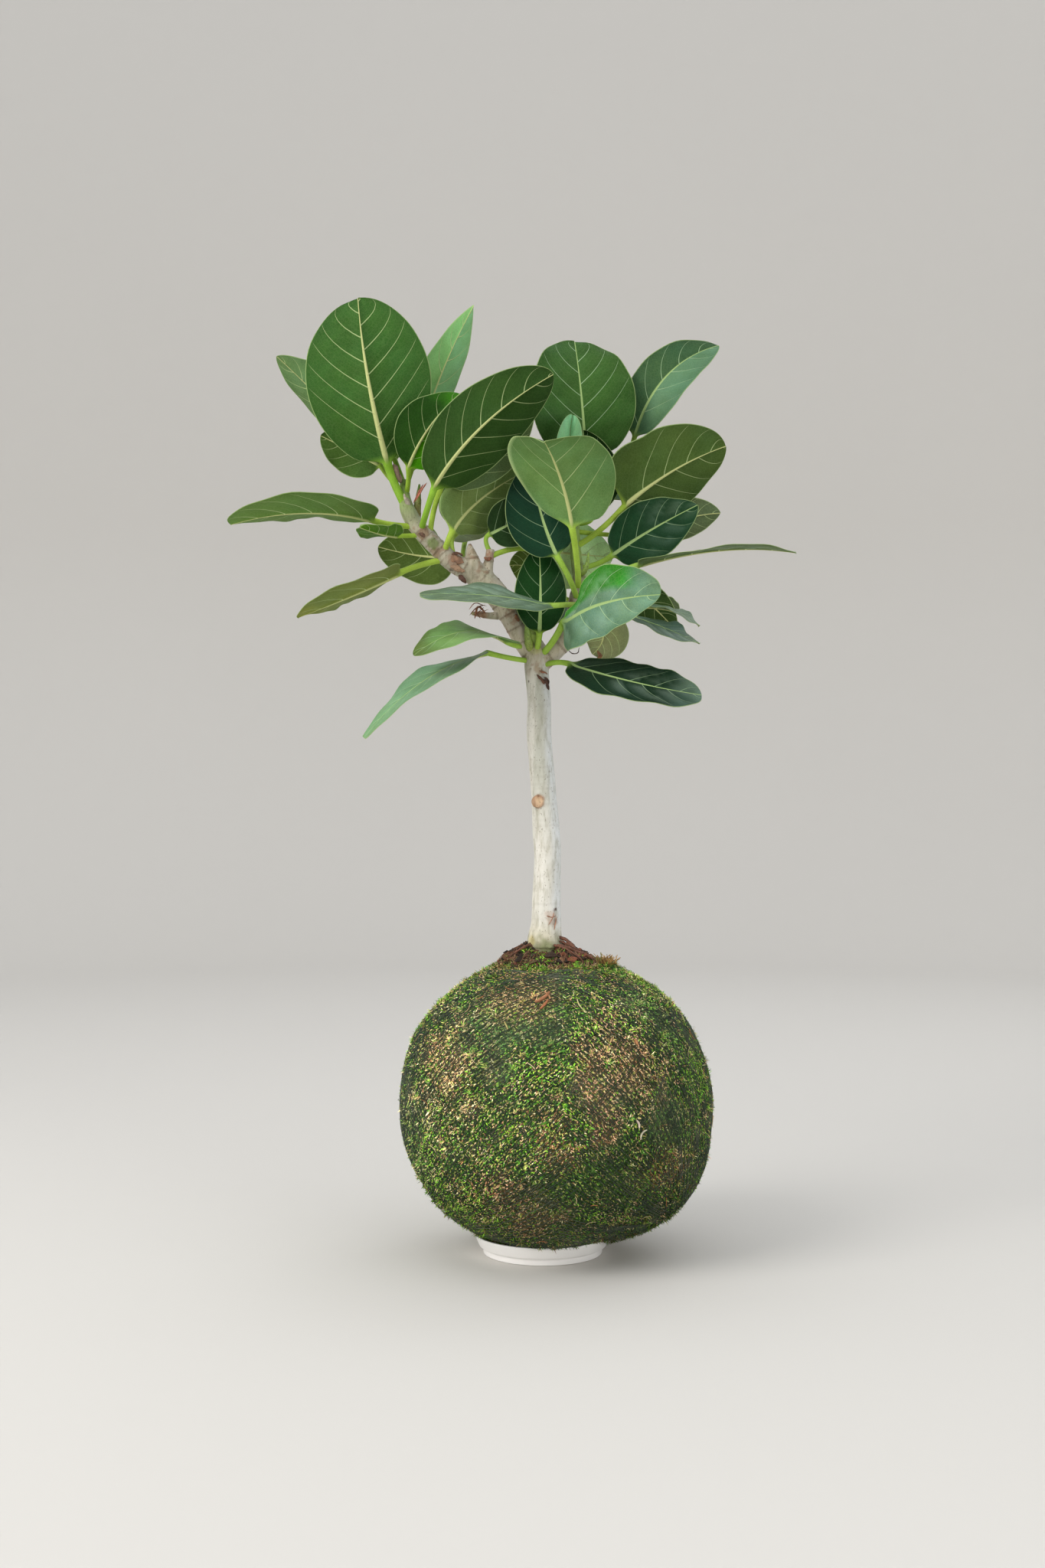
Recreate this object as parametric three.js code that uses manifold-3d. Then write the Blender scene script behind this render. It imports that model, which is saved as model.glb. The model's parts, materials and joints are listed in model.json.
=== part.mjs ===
// A kokedama: a young fig tree whose roots are wrapped in a ball of soil, moss and thread,
// standing in a shallow white dish.
//
// Millimetres, +Z up, +X to the right and +Y away from the viewer.
// The origin is the middle of the dish's flat underside.

import * as THREE from 'three';
import { mergeVertices } from 'three/addons/utils/BufferGeometryUtils.js';
import Module from 'manifold-3d';

const wasm = await Module();
wasm.setup();

// Driving dimensions

const gap = 0.3; // air left between two neighbouring pieces

const dish = {
  rimRadius: 57,
  height: 16,
  wall: 2.2,
  floor: 3.2,
  footRadius: 50,
  footHeight: 3,
  shoulder: { out: 3, up: 1 }, // from the foot to the start of the slanted side
  lip: 1.5, // height of the upright band at the rim
  cove: { out: 0.8, into: 3, up: 2 }, // the bevel between the inner wall and the floor
  segments: 36,
};

const ball = {
  x: 11, // the ball sits a little to the right of the dish's middle
  z: 124,
  radius: 130,
  halfHeight: 119.5,
  mossDepth: 8,
  relief: 1.25, // the most that the lumps below add up to
  segments: 32,
  rows: 16,
  coreSegments: 20,
  coreRows: 10,
};

// Low lumps of moss: waves that wind around and up the ball, with heights in millimetres
const mossWaves = [
  { around: 5, rise: 10, height: 0.4, phase: 0 },
  { around: 5, rise: -4, height: 0.4, phase: 0 },
  { around: 9, rise: -6, height: 0.45, phase: 1 },
];

const mound = {
  x: 4,
  depth: 20, // how far it reaches down into the ball
  profile: [[44, 232], [42, 240], [36, 246.5], [27, 252], [19, 255.3], [0, 255.6]],
  segments: 20,
};

// lift clears the highest lump, because both the ball and the thread are made of flats
const thread = { radius: 0.75, sides: 4, segments: 26, lift: 0.7 };

// The straight root stock that stands in the soil under the trunk
const foot = { x: 2, radius: 14, bottom: 205, top: 262, segments: 14 };

const leafThickness = 0.8;
const ribRidge = 1.4; // how much thicker the blade is along its rib, next to the stalk
const leafWave = 1.4; // height of the ripple along a blade's margin
const leafWaves = 1.6; // ripples along one margin
const leafShift = 1.7; // how far the ripple moves on from one leaf to the next, in radians
const sideShift = 2.2; // and from a blade's left margin to its right one
const tipHalfWidth = 0.8;
const stalkBlend = 0.07; // share of the rib over which the round stalk becomes the flat blade
const stalkEase = 0.45; // how far the stalk's end keeps the rib's direction, as a share of its span
const wideLeaf = 68; // a blade wider than this gets two strips on each side of its rib

const bladeStations = [0, 0.04, 0.14, 0.28, 0.43, 0.58, 0.73, 0.86, 0.96, 1];
const stalkStations = [0, 0.35, 0.7];

// Colours

const colour = {
  dish: 0xf1f0ec,
  moss: 0x4f6a2c,
  soil: 0x3a2a20,
  thread: 0x2d3428,
  bark: 0xcfc6b2,
  root: 0x8a4a30,
  bud: 0x93a957,
  upper: 0x2f5f46,
  under: 0x5d7a3a,
  young: 0x4f9a33,
};

// Wood: each limb is a chain of [x, y, z, radius], thick end first

const limbs = {
  trunk: [
    [2, 0, 256.2, 16.2], [2, 0, 263, 14.6], [3, 0, 274, 12.9], [3, 0, 292, 11.9], [4, 0, 331, 11.3],
    [3, 0, 351, 11.6], [1, 0, 383, 10.6], [-1, 0, 409, 10.3], [-3, 0, 434, 10.5], [-3, 0, 461, 10],
    [-5, 0, 486, 10.2], [-6, 0, 503, 10.8], [-8, 0, 513, 7],
  ],
  leftBranch: [
    [-5, 0, 494, 8], [-15, 0, 512, 9.2], [-24, -2, 529, 9.4], [-35, -3, 547, 10], [-49, -4, 563, 10.4],
    [-65, -5, 573, 9], [-77, -5, 580, 8], [-88, -5, 591, 7.6], [-98, -5, 601, 7.4], [-107, -5, 611, 7],
    [-114, -5, 624, 6.4], [-116, 2, 636, 4.2], [-118, 7, 650, 2.8],
  ],
  rightBranch: [
    [-2, 0, 494, 8], [12, 0, 506, 7.6], [21, 1, 517, 7], [26, 2, 532, 6.8], [29, 3, 548, 7.2],
    [31, 6, 564, 6], [28, 8, 590, 4.6], [28, 13, 617, 4], [32, 19, 641, 3.4], [36, 24, 662, 2.6],
  ],
  hornStub: [[-53, -4, 562, 8.5], [-58, -5, 578, 6.5], [-61, -6, 594, 1.5]],
  twig: [[-44, -4, 558, 5], [-46, -4, 570, 4.4], [-44, -4, 590, 3.6]],
  sideTwig: [[-28, -4, 536, 4.5], [-42, -6, 534, 3], [-60, -8, 536, 1.6]],
  leafScar: [[-4, -6, 378, 5.2], [-4, -11.6, 378, 4.6]],
};

const roots = [
  [
    [13, -5, 265, 1.6], [20, -9, 262.5, 1.6], [26, -14, 255.8, 1.5], [31, -18, 251, 1.4],
    [36, -21, 248, 1.1],
  ],
  [
    [12, -16, 258.3, 1.4], [23, -18, 256, 1.4], [31, -18, 252.2, 1.4], [38, -17, 249.5, 1.4],
    [45, -15, 244, 1.2],
  ],
];

const buds = {
  bud_left: [[-106, -2, 611, 3.2], [-106, 2, 622, 3.6], [-105, 4, 634, 2.6], [-104, 5, 646, 0.8]],
  bud_right: [[31, 2, 569, 2.4], [35, -3, 572, 2.4], [37.5, -5, 579, 1.7], [38.5, -6, 587, 0.7]],
  bud_fork: [[-10, -5, 504, 3.2], [-12, -11, 512, 3.6], [-13, -13, 521, 2.4], [-14, -14, 529, 0.8]],
};

// Leaves: the stalk starts at root inside the wood and leans towards bend, if there is one.
// rib runs from the blade's base to its tip.
// roll turns the upper side about the rib, from facing the viewer at 0 to facing away at 180.
// fold raises each half of the blade about the rib, left and right, in degrees.
// lean slides the right margin towards the tip and the left one towards the stalk.
// widest is where along the rib the blade is widest, and a smaller blunt makes rounder ends.

const leaves = [
  { name: 'leaf_left_1', root: [-118, 6, 647], rib: [[-134, 26, 668], [-184, 46, 720], [-229, 42, 763]],
    wide: 62, roll: 125, fold: [6, 6], stalk: 2.4, tone: 'under' },
  { name: 'leaf_left_2', root: [-114, -5, 624], rib: [[-130, -8, 661], [-145, -22, 728], [-156, 6, 803]],
    wide: 105, roll: 180, fold: [6, 6], widest: 0.52, blunt: 0.44, stalk: 4, tone: 'under' },
  { name: 'leaf_left_3', root: [-115, 3, 637], bend: [-112, -5, 646],
    rib: [[-112, -16, 656], [-94, -34, 686], [-69, -20, 717]],
    wide: 54, roll: 180, fold: [5, 5], stalk: 2.4, tone: 'young' },
  { name: 'leaf_left_4', root: [-102, -5, 606], bend: [-98, -28, 614],
    rib: [[-90, -34, 636], [-49, -60, 683], [8, -48, 727]],
    wide: 66, roll: 180, fold: [34, 5], blunt: 0.55, stalk: 3, tone: 'under' },
  { name: 'leaf_left_5', root: [-117, 3, 639], bend: [-128, 8, 648],
    rib: [[-137, 8, 662], [-164, 18, 677], [-189, 20, 690]],
    wide: 42, roll: 165, fold: [6, 6], stalk: 2.2, tone: 'under' },
  { name: 'leaf_left_6', root: [-107, -5, 609],
    rib: [[-140, -25, 611], [-193, -55, 614], [-255, -50, 605]],
    wide: 72, roll: 98, fold: [8, 8], widest: 0.5, blunt: 0.42, stalk: 2.7, tone: 'under' },
  { name: 'leaf_left_7', root: [-101, -5, 602],
    rib: [[-121, -22, 599], [-134, -46, 598], [-148, -70, 600]],
    wide: 34, roll: 105, fold: [8, 8], stalk: 2.2, tone: 'young' },
  { name: 'leaf_left_8', root: [-84, -5, 587], rib: [[-79, 20, 587], [-107, 36, 590], [-141, 32, 597]],
    wide: 56, roll: 150, fold: [6, 6], stalk: 2.4, tone: 'under' },
  { name: 'leaf_left_9', root: [-80, -5, 582],
    rib: [[-119, -24, 568], [-159, -50, 546], [-200, -45, 530]],
    wide: 62, roll: 98, fold: [5, 5], blunt: 0.5, stalk: 2.9, tone: 'under' },
  { name: 'leaf_left_10', root: [-95, -3, 598], bend: [-93, -13, 622],
    rib: [[-84, -20, 641], [-46, -28, 678], [-8, -18, 712]],
    wide: 64, roll: 180, fold: [20, 10], stalk: 2.6, tone: 'under' },
  { name: 'leaf_left_11', root: [-83, -5, 586], rib: [[-76, -14, 603], [-53, 4, 633], [-13, 18, 660]],
    wide: 60, roll: 214, fold: [6, 6], widest: 0.38, stalk: 2.8, tone: 'under' },
  { name: 'leaf_left_12', root: [-72, -5, 578], rib: [[-74, 8, 604], [-50, 28, 619], [-9, 42, 634]],
    wide: 42, roll: 238, fold: [5, 5], stalk: 2.4, tone: 'under' },
  { name: 'leaf_left_13', root: [-45, -3, 589], rib: [[-45, -7, 602], [-24, -7, 613], [1, 0, 629]],
    wide: 42, roll: 0, fold: [5, 5], stalk: 2.2, tone: 'upper' },
  { name: 'leaf_left_14', root: [-117, 5, 642], rib: [[-112, 12, 657], [-91, 22, 732], [-59, 32, 804]],
    wide: 45, roll: 222, fold: [8, 8], widest: 0.4, blunt: 0.8, stalk: 2.4, tone: 'young' },
  { name: 'leaf_top_1', root: [36, 24, 657], rib: [[37, 28, 672], [33, 14, 722], [28, 42, 775]],
    wide: 92, roll: 0, fold: [20, 5], blunt: 0.5, stalk: 2.4, tone: 'upper' },
  { name: 'leaf_top_2', root: [32, 19, 643], rib: [[79, 32, 690], [105, 20, 740], [153, 47, 773]],
    wide: 49, roll: -20, fold: [8, 8], stalk: 2.2, tone: 'upper' },
  { name: 'leaf_top_3', root: [29, 14, 614], rib: [[42, 8, 620], [38, 4, 655], [34, 2, 691]],
    wide: 56, roll: 0, fold: [8, 8], stalk: 2.2, tone: 'upper' },
  { name: 'leaf_top_4', root: [28, 9, 597], bend: [24, -5, 616],
    rib: [[23, -2, 642], [22, -7, 673], [25, -2, 703]],
    wide: 40, roll: 0, fold: [55, 55], stalk: 2.2, tone: 'upper' },
  { name: 'leaf_mid_1', root: [30, 4, 556], bend: [30, -18, 574],
    rib: [[24, -36, 603], [15, -56, 638], [5, -82, 658], [0, -114, 661]],
    wide: 90, roll: 160, fold: [4, 28], lean: 0.2, blunt: 0.5, stalk: 3.4, tone: 'under' },
  { name: 'leaf_mid_2', root: [29, 3, 548], bend: [25, -26, 560],
    rib: [[12, -18, 582], [-2, -14, 620], [-10, 0, 664]],
    wide: 60, roll: 0, fold: [5, 5], stalk: 3.3, tone: 'upper' },
  { name: 'leaf_mid_3', root: [-44, -4, 584], rib: [[-12, 8, 592], [24, 19, 589], [60, 17, 586]],
    wide: 60, roll: 180, fold: [5, 5], stalk: 2.6, tone: 'under' },
  { name: 'leaf_mid_4', root: [28, 3, 548], bend: [22, 32, 546],
    rib: [[2, 37, 572], [-12, 38, 580], [-28, 36, 581]],
    wide: 36, roll: 180, fold: [5, 5], stalk: 2, tone: 'under' },
  { name: 'leaf_mid_5', root: [-6, 0, 503], rib: [[-3, -15, 518], [-2, -10, 554], [-3, 2, 593]],
    wide: 44, roll: 0, fold: [5, 5], stalk: 2.8, tone: 'upper' },
  { name: 'leaf_mid_6', root: [28, 3, 544], bend: [25, -26, 542],
    rib: [[6, -32, 540], [-43, -58, 546], [-100, -64, 546]],
    wide: 70, roll: 70, fold: [1, 1], stalk: 2.6, tone: 'upper' },
  { name: 'leaf_mid_7', root: [-2, 0, 501], bend: [8, -22, 508],
    rib: [[17, -26, 527], [49, -66, 539], [93, -84, 544]],
    wide: 58, roll: -20, fold: [22, 2], lean: -0.35, blunt: 0.5, stalk: 3.2, tone: 'upper' },
  { name: 'leaf_mid_8', root: [23, 1, 524], rib: [[44, 5, 533], [51, 3, 517], [42, 1, 502]],
    wide: 44, roll: 180, fold: [5, 5], stalk: 2.4, tone: 'under' },
  { name: 'leaf_right_1', root: [28, 9, 594], bend: [46, 0, 602],
    rib: [[68, 2, 626], [108, 8, 657], [156, 20, 681]],
    wide: 72, roll: 212, fold: [8, 8], blunt: 0.5, stalk: 2.8, tone: 'under' },
  { name: 'leaf_right_2', root: [30, 7, 575], rib: [[58, 0, 585], [90, -2, 606], [131, 8, 629]],
    wide: 52, roll: -4, fold: [6, 6], stalk: 2.6, tone: 'upper' },
  { name: 'leaf_right_3', root: [28, 11, 607], bend: [62, 6, 602],
    rib: [[92, 32, 606], [122, 38, 621], [154, 42, 627]],
    wide: 38, roll: 200, fold: [12, 12], stalk: 2.2, tone: 'under' },
  { name: 'leaf_right_4', root: [31, 5, 561], rib: [[77, -32, 573], [141, -58, 583], [206, -50, 582]],
    wide: 66, roll: -85, fold: [3, 3], stalk: 2.5, tone: 'upper' },
  { name: 'leaf_right_5', root: [29, 3, 547], rib: [[83, 2, 543], [109, -12, 538], [131, -14, 525]],
    wide: 40, roll: -76, fold: [3, 3], stalk: 2.2, tone: 'upper' },
  { name: 'leaf_right_6', root: [27, 2, 536], bend: [52, -8, 545],
    rib: [[74, -26, 532], [101, -46, 520], [128, -46, 508]],
    wide: 48, roll: -68, fold: [3, 3], stalk: 2.3, tone: 'upper' },
  { name: 'leaf_right_7', root: [30, 4, 556], rib: [[72, 16, 562], [93, 18, 545], [114, 22, 524]],
    wide: 32, roll: 190, fold: [5, 5], stalk: 2.1, tone: 'under' },
  { name: 'leaf_low_1', root: [-5, 0, 491], rib: [[21, -20, 493], [73, -56, 476], [128, -62, 465]],
    wide: 55, roll: -50, fold: [2, 2], widest: 0.52, blunt: 0.55, stalk: 2.6, tone: 'upper' },
  { name: 'leaf_low_2', root: [-5, 0, 496], bend: [-26, -12, 497],
    rib: [[-46, -20, 502], [-98, -50, 477], [-147, -46, 431]],
    wide: 62, roll: 70, fold: [2, 2], stalk: 2.5, tone: 'upper' },
  { name: 'leaf_low_3', root: [-14, 0, 509], rib: [[-30, -22, 511], [-65, -56, 517], [-105, -64, 497]],
    wide: 66, roll: 68, fold: [2, 2], widest: 0.4, blunt: 0.45, stalk: 2.5, tone: 'upper' },
  { name: 'leaf_back_1', root: [29, 14, 622], rib: [[56, 45, 640], [80, 80, 662], [98, 112, 686]],
    wide: 66, roll: -20, fold: [8, 8], stalk: 2.3, tone: 'upper' },
  { name: 'leaf_back_2', root: [-6, 0, 503], rib: [[0, 40, 532], [8, 85, 556], [12, 128, 566]],
    wide: 66, roll: 0, fold: [8, 8], stalk: 2.6, tone: 'upper' },
  { name: 'leaf_back_3', root: [-65, -5, 573], rib: [[-66, 45, 606], [-60, 77, 640], [-58, 107, 664]],
    wide: 62, roll: 0, fold: [8, 8], stalk: 2.4, tone: 'upper' },
  { name: 'leaf_back_4', root: [-113, 0, 627], bend: [-112, 34, 636],
    rib: [[-127, 38, 672], [-140, 74, 708], [-156, 98, 750]],
    wide: 62, roll: 0, fold: [8, 8], stalk: 2.3, tone: 'upper' },
  { name: 'leaf_back_5', root: [31, 17, 633], bend: [36, 42, 650],
    rib: [[42, 54, 690], [46, 86, 724], [50, 106, 758]],
    wide: 58, roll: 0, fold: [8, 8], stalk: 2.2, tone: 'upper' },
  { name: 'leaf_back_6', root: [29, 3, 551], rib: [[54, 44, 552], [88, 82, 558], [122, 110, 550]],
    wide: 66, roll: -80, fold: [6, 6], stalk: 2.4, tone: 'upper' },
];

// Tools

const smoothstep = (t) => t * t * (3 - 2 * t);
const radians = THREE.MathUtils.degToRad;
const vector = (values) => new THREE.Vector3(...values);

// Joins rings of equal length into one closed skin. A ring runs counter-clockwise
// when it is seen from the far end of the chain.
function loft(rings, looped = false) {
  const count = rings[0].length;
  const spans = looped ? rings.length : rings.length - 1;
  const index = [];
  for (let i = 0; i < spans; i++) {
    const near = i * count;
    const far = ((i + 1) % rings.length) * count;
    for (let j = 0; j < count; j++) {
      const next = (j + 1) % count;
      index.push(near + j, near + next, far + next, near + j, far + next, far + j);
    }
  }
  if (!looped) {
    const last = (rings.length - 1) * count;
    for (let j = 1; j < count - 1; j++) {
      index.push(0, j + 1, j, last, last + j, last + j + 1);
    }
  }
  const geometry = new THREE.BufferGeometry().setFromPoints(rings.flat());
  geometry.setIndex(index);
  return geometry;
}

// A round tube along a chain of [x, y, z, radius]
function limb(chain, { sides, steps }) {
  const curve = new THREE.CatmullRomCurve3(chain.map(([x, y, z]) => new THREE.Vector3(x, y, z)));
  const frames = curve.computeFrenetFrames(steps, false);
  const rings = [];
  for (let i = 0; i <= steps; i++) {
    const along = (i / steps) * (chain.length - 1);
    const link = Math.min(Math.floor(along), chain.length - 2);
    const radius = THREE.MathUtils.lerp(chain[link][3], chain[link + 1][3], along - link);
    const centre = curve.getPoint(i / steps);
    rings.push(circle(centre, frames.normals[i], frames.binormals[i], radius, sides));
  }
  return loft(rings);
}

function circle(centre, right, up, radius, sides) {
  const ring = [];
  for (let j = 0; j < sides; j++) {
    const angle = (2 * Math.PI * j) / sides;
    ring.push(
      centre.clone()
        .addScaledVector(right, radius * Math.cos(angle))
        .addScaledVector(up, radius * Math.sin(angle)),
    );
  }
  return ring;
}

// A lathe about the Z axis from [radius, height] points, moved to x
function turned(profile, segments, x = 0) {
  const points = profile.map(([radius, height]) => new THREE.Vector2(radius, height));
  return new THREE.LatheGeometry(points, segments).rotateX(Math.PI / 2).translate(x, 0, 0);
}

// Merges the points that share a place and drops the triangles that this leaves without area
function solidOf(geometry) {
  const bare = geometry.clone();
  bare.deleteAttribute('normal');
  bare.deleteAttribute('uv');
  const merged = mergeVertices(bare, 1e-4);
  const corners = merged.index.array;
  const kept = [];
  for (let i = 0; i < corners.length; i += 3) {
    const [a, b, c] = corners.slice(i, i + 3);
    if (a !== b && b !== c && c !== a) {
      kept.push(a, b, c);
    }
  }
  return new wasm.Manifold(new wasm.Mesh({
    numProp: 3,
    vertProperties: new Float32Array(merged.attributes.position.array),
    triVerts: new Uint32Array(kept),
  }));
}

function geometryOf(solid) {
  const mesh = solid.getMesh();
  const geometry = new THREE.BufferGeometry();
  geometry.setAttribute('position', new THREE.BufferAttribute(new Float32Array(mesh.vertProperties), 3));
  geometry.setIndex(new THREE.BufferAttribute(new Uint32Array(mesh.triVerts), 1));
  geometry.computeVertexNormals();
  return geometry;
}

const object = new THREE.Group();

function place(name, geometry, hex, roughness) {
  const material = new THREE.MeshStandardMaterial({ color: hex, roughness, metalness: 0 });
  const mesh = new THREE.Mesh(geometry, material);
  mesh.name = name;
  object.add(mesh);
}

// Dish

// The dish's outline, grown outwards by clearance
function dishProfile(clearance) {
  const { rimRadius, height, wall, floor, footRadius, footHeight, shoulder, lip, cove } = dish;
  return [
    [0, -clearance],
    [footRadius + clearance, -clearance],
    [footRadius + clearance, footHeight],
    [footRadius + shoulder.out + clearance, footHeight + shoulder.up],
    [rimRadius + clearance, height - lip],
    [rimRadius + clearance, height + clearance],
    [rimRadius - wall - clearance, height + clearance],
    [footRadius + cove.out - clearance, floor + cove.up + clearance],
    [footRadius - cove.into, floor + clearance],
    [0, floor + clearance],
  ];
}

// Ball of soil and moss

// A closed ball of rows and columns, squashed to the soil ball's proportions and made smaller
// by depth. raise(azimuth, height) is how far its surface stands out in each direction.
function ballSolid(depth, segments, rows, raise) {
  const geometry = new THREE.SphereGeometry(1, segments, rows).rotateX(Math.PI / 2);
  const position = geometry.attributes.position;
  const point = new THREE.Vector3();
  for (let i = 0; i < position.count; i++) {
    point.fromBufferAttribute(position, i);
    const flat = Math.hypot(point.x, point.y); // fades the lumps out towards the poles
    const scale = 1 + (raise(Math.atan2(point.y, point.x), point.z) * flat) / ball.radius;
    position.setXYZ(
      i,
      ball.x + point.x * scale * (ball.radius - depth),
      point.y * scale * (ball.radius - depth),
      ball.z + point.z * scale * (ball.halfHeight - depth),
    );
  }
  return solidOf(geometry);
}

function mossRaise(azimuth, height) {
  return mossWaves.reduce(
    (sum, wave) => sum + wave.height * Math.sin(wave.around * azimuth + wave.rise * height + wave.phase),
    0,
  );
}

const mossSolid = () => ballSolid(0, ball.segments, ball.rows, mossRaise);

const coreSolid = (clearance) =>
  ballSolid(ball.mossDepth - clearance, ball.coreSegments, ball.coreRows, () => 0);

function moundSolid(clearance) {
  const [[baseRadius, baseHeight]] = mound.profile;
  const bottom = baseHeight - mound.depth;
  const grown = mound.profile.map(([radius, height]) => [
    radius === 0 ? 0 : radius + clearance,
    height + clearance,
  ]);
  const profile = [[0, bottom], [baseRadius + clearance, bottom], ...grown];
  return solidOf(turned(profile, mound.segments, mound.x));
}

function footSolid(clearance) {
  const radius = foot.radius + clearance;
  const bottom = foot.bottom - clearance;
  const profile = [[0, bottom], [radius, bottom], [radius, foot.top], [0, foot.top]];
  return solidOf(turned(profile, foot.segments, foot.x));
}

// Thread

// Each winding is a slanted circle on the ball: heading turns it about the upright axis,
// lean tips its plane away from upright, and shift slides that plane off the ball's middle.
const windings = [
  { heading: 8, lean: 40, shift: 0.06 },
  { heading: 70, lean: 36, shift: -0.1 },
  { heading: 130, lean: 44, shift: 0.12 },
  { heading: 190, lean: 38, shift: 0.02 },
  { heading: 250, lean: 42, shift: -0.08 },
  { heading: 312, lean: 37, shift: 0.08 },
];

function winding({ heading, lean, shift }) {
  const axis = new THREE.Vector3(1, 0, 0)
    .applyAxisAngle(new THREE.Vector3(0, 1, 0), -radians(lean))
    .applyAxisAngle(new THREE.Vector3(0, 0, 1), radians(heading));
  const across = new THREE.Vector3(0, 0, 1).cross(axis).normalize();
  const up = axis.clone().cross(across);
  const reach = Math.sqrt(1 - shift * shift);
  const rings = [];
  for (let i = 0; i < thread.segments; i++) {
    const angle = (2 * Math.PI * i) / thread.segments;
    const ray = across.clone().multiplyScalar(reach * Math.cos(angle))
      .addScaledVector(up, reach * Math.sin(angle))
      .addScaledVector(axis, shift);
    const size = new THREE.Vector3(ball.radius, ball.radius, ball.halfHeight);
    const out = ray.clone().divide(size).normalize();
    const centre = ray.clone().multiply(size).add(new THREE.Vector3(ball.x, 0, ball.z))
      .addScaledVector(out, ball.relief + thread.lift + thread.radius);
    rings.push(circle(centre, axis, out, thread.radius, thread.sides));
  }
  return loft(rings, true);
}

// Leaves

// A smooth curve through evenly spaced points, as Lagrange's polynomial
function pointOnRib(rib, t) {
  const last = rib.length - 1;
  const point = new THREE.Vector3();
  rib.forEach((values, i) => {
    let weight = 1;
    for (let j = 0; j <= last; j++) {
      if (j !== i) {
        weight *= (t * last - j) / (i - j);
      }
    }
    point.addScaledVector(vector(values), weight);
  });
  return point;
}

function ribDirection(rib, t) {
  const step = 0.001;
  return pointOnRib(rib, t + step).sub(pointOnRib(rib, t - step)).normalize();
}

// The direction that the blade's upper side faces halfway along its rib
function facing(leaf) {
  const along = ribDirection(leaf.rib, 0.5);
  const towardsViewer = new THREE.Vector3(0, -1, 0);
  return towardsViewer.addScaledVector(along, -towardsViewer.dot(along)).normalize()
    .applyAxisAngle(along, radians(leaf.roll));
}

function squareTo(normal, along) {
  return normal.clone().addScaledVector(along, -normal.dot(along)).normalize();
}

// Half the blade's width at t along the rib
function halfWidth(leaf, t) {
  const skew = Math.log(0.5) / Math.log(leaf.widest ?? 0.45);
  const swell = Math.max(Math.sin(Math.PI * t ** skew), 0) ** (leaf.blunt ?? 0.62);
  return Math.max((leaf.wide / 2) * swell, tipHalfWidth);
}

function leafRings(leaf, order) {
  const across = leaf.wide > wideLeaf ? [-1, -0.5, 0, 0.5, 1] : [-1, 0, 1];
  const sides = 2 * across.length;
  const normalAtMiddle = facing(leaf);
  const base = pointOnRib(leaf.rib, 0);
  const baseDirection = ribDirection(leaf.rib, 0);
  const root = vector(leaf.root);
  const eased = base.clone().addScaledVector(baseDirection, -stalkEase * base.distanceTo(root));
  const bend = leaf.bend ? vector(leaf.bend) : eased;
  const stalk = new THREE.QuadraticBezierCurve3(root, bend, base);

  // the ring's points on a circle: the upper side from left to right, then the lower side back
  const stalkRing = (centre, along) => {
    const up = squareTo(normalAtMiddle, along);
    const right = along.clone().cross(up);
    const ring = [];
    for (let j = 0; j < sides; j++) {
      const angle = Math.PI - (Math.PI * (j + 0.5)) / across.length;
      ring.push(
        centre.clone()
          .addScaledVector(right, leaf.stalk * Math.cos(angle))
          .addScaledVector(up, leaf.stalk * Math.sin(angle)),
      );
    }
    return ring;
  };

  const bladeRing = (t) => {
    const centre = pointOnRib(leaf.rib, t);
    const along = ribDirection(leaf.rib, t);
    const up = squareTo(normalAtMiddle, along);
    const right = along.clone().cross(up);
    const half = halfWidth(leaf, t);
    const skinPoint = (v, side) => {
      const raise = radians(v > 0 ? leaf.fold[1] : leaf.fold[0]);
      const phase = 2 * Math.PI * leafWaves * t + leafShift * order + (v > 0 ? sideShift : 0);
      const ripple = leafWave * v * v * Math.sin(phase);
      const thickness = leafThickness + ribRidge * (1 - Math.abs(v)) ** 2 * (1 - t);
      const height = half * Math.abs(v) * Math.sin(raise) + ripple - (side === 'lower' ? thickness : 0);
      return centre.clone()
        .addScaledVector(right, half * v * Math.cos(raise))
        .addScaledVector(along, half * v * (leaf.lean ?? 0))
        .addScaledVector(up, height);
    };
    const upper = across.map((v) => skinPoint(v, 'upper'));
    const lower = across.map((v) => skinPoint(v, 'lower')).reverse();
    const blend = smoothstep(Math.min(t / stalkBlend, 1));
    return stalkRing(centre, along).map((point, j) => point.lerp([...upper, ...lower][j], blend));
  };

  const stalkRings = stalkStations.map((t) => stalkRing(stalk.getPoint(t), stalk.getTangent(t)));
  return [...stalkRings, ...bladeStations.map(bladeRing)];
}

// Assembly

// How finely each limb is made
const limbMesh = {
  trunk: { sides: 12, steps: 14 },
  leftBranch: { sides: 10, steps: 14 },
  rightBranch: { sides: 10, steps: 11 },
  hornStub: { sides: 8, steps: 3 },
  twig: { sides: 8, steps: 3 },
  sideTwig: { sides: 7, steps: 3 },
  leafScar: { sides: 10, steps: 1 },
};
const rootMesh = { sides: 6, steps: 8 };
const budMesh = { sides: 8, steps: 5 };

const joined = (solids) => solids.reduce((whole, solid) => whole.add(solid));

function woodSolid(clearance) {
  const pieces = Object.keys(limbs).map((name) => {
    const grown = limbs[name].map(([x, y, z, radius]) => [x, y, z, radius + clearance]);
    return solidOf(limb(grown, limbMesh[name]));
  });
  return joined([...pieces, footSolid(clearance)]);
}

const wood = woodSolid(0);
const woodWithAir = woodSolid(gap);
const dishWithAir = solidOf(turned(dishProfile(gap), dish.segments));
const soil = coreSolid(0).add(moundSolid(0)).subtract(footSolid(gap));
const moss = mossSolid()
  .subtract(coreSolid(gap))
  .subtract(moundSolid(gap))
  .subtract(dishWithAir);

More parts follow.
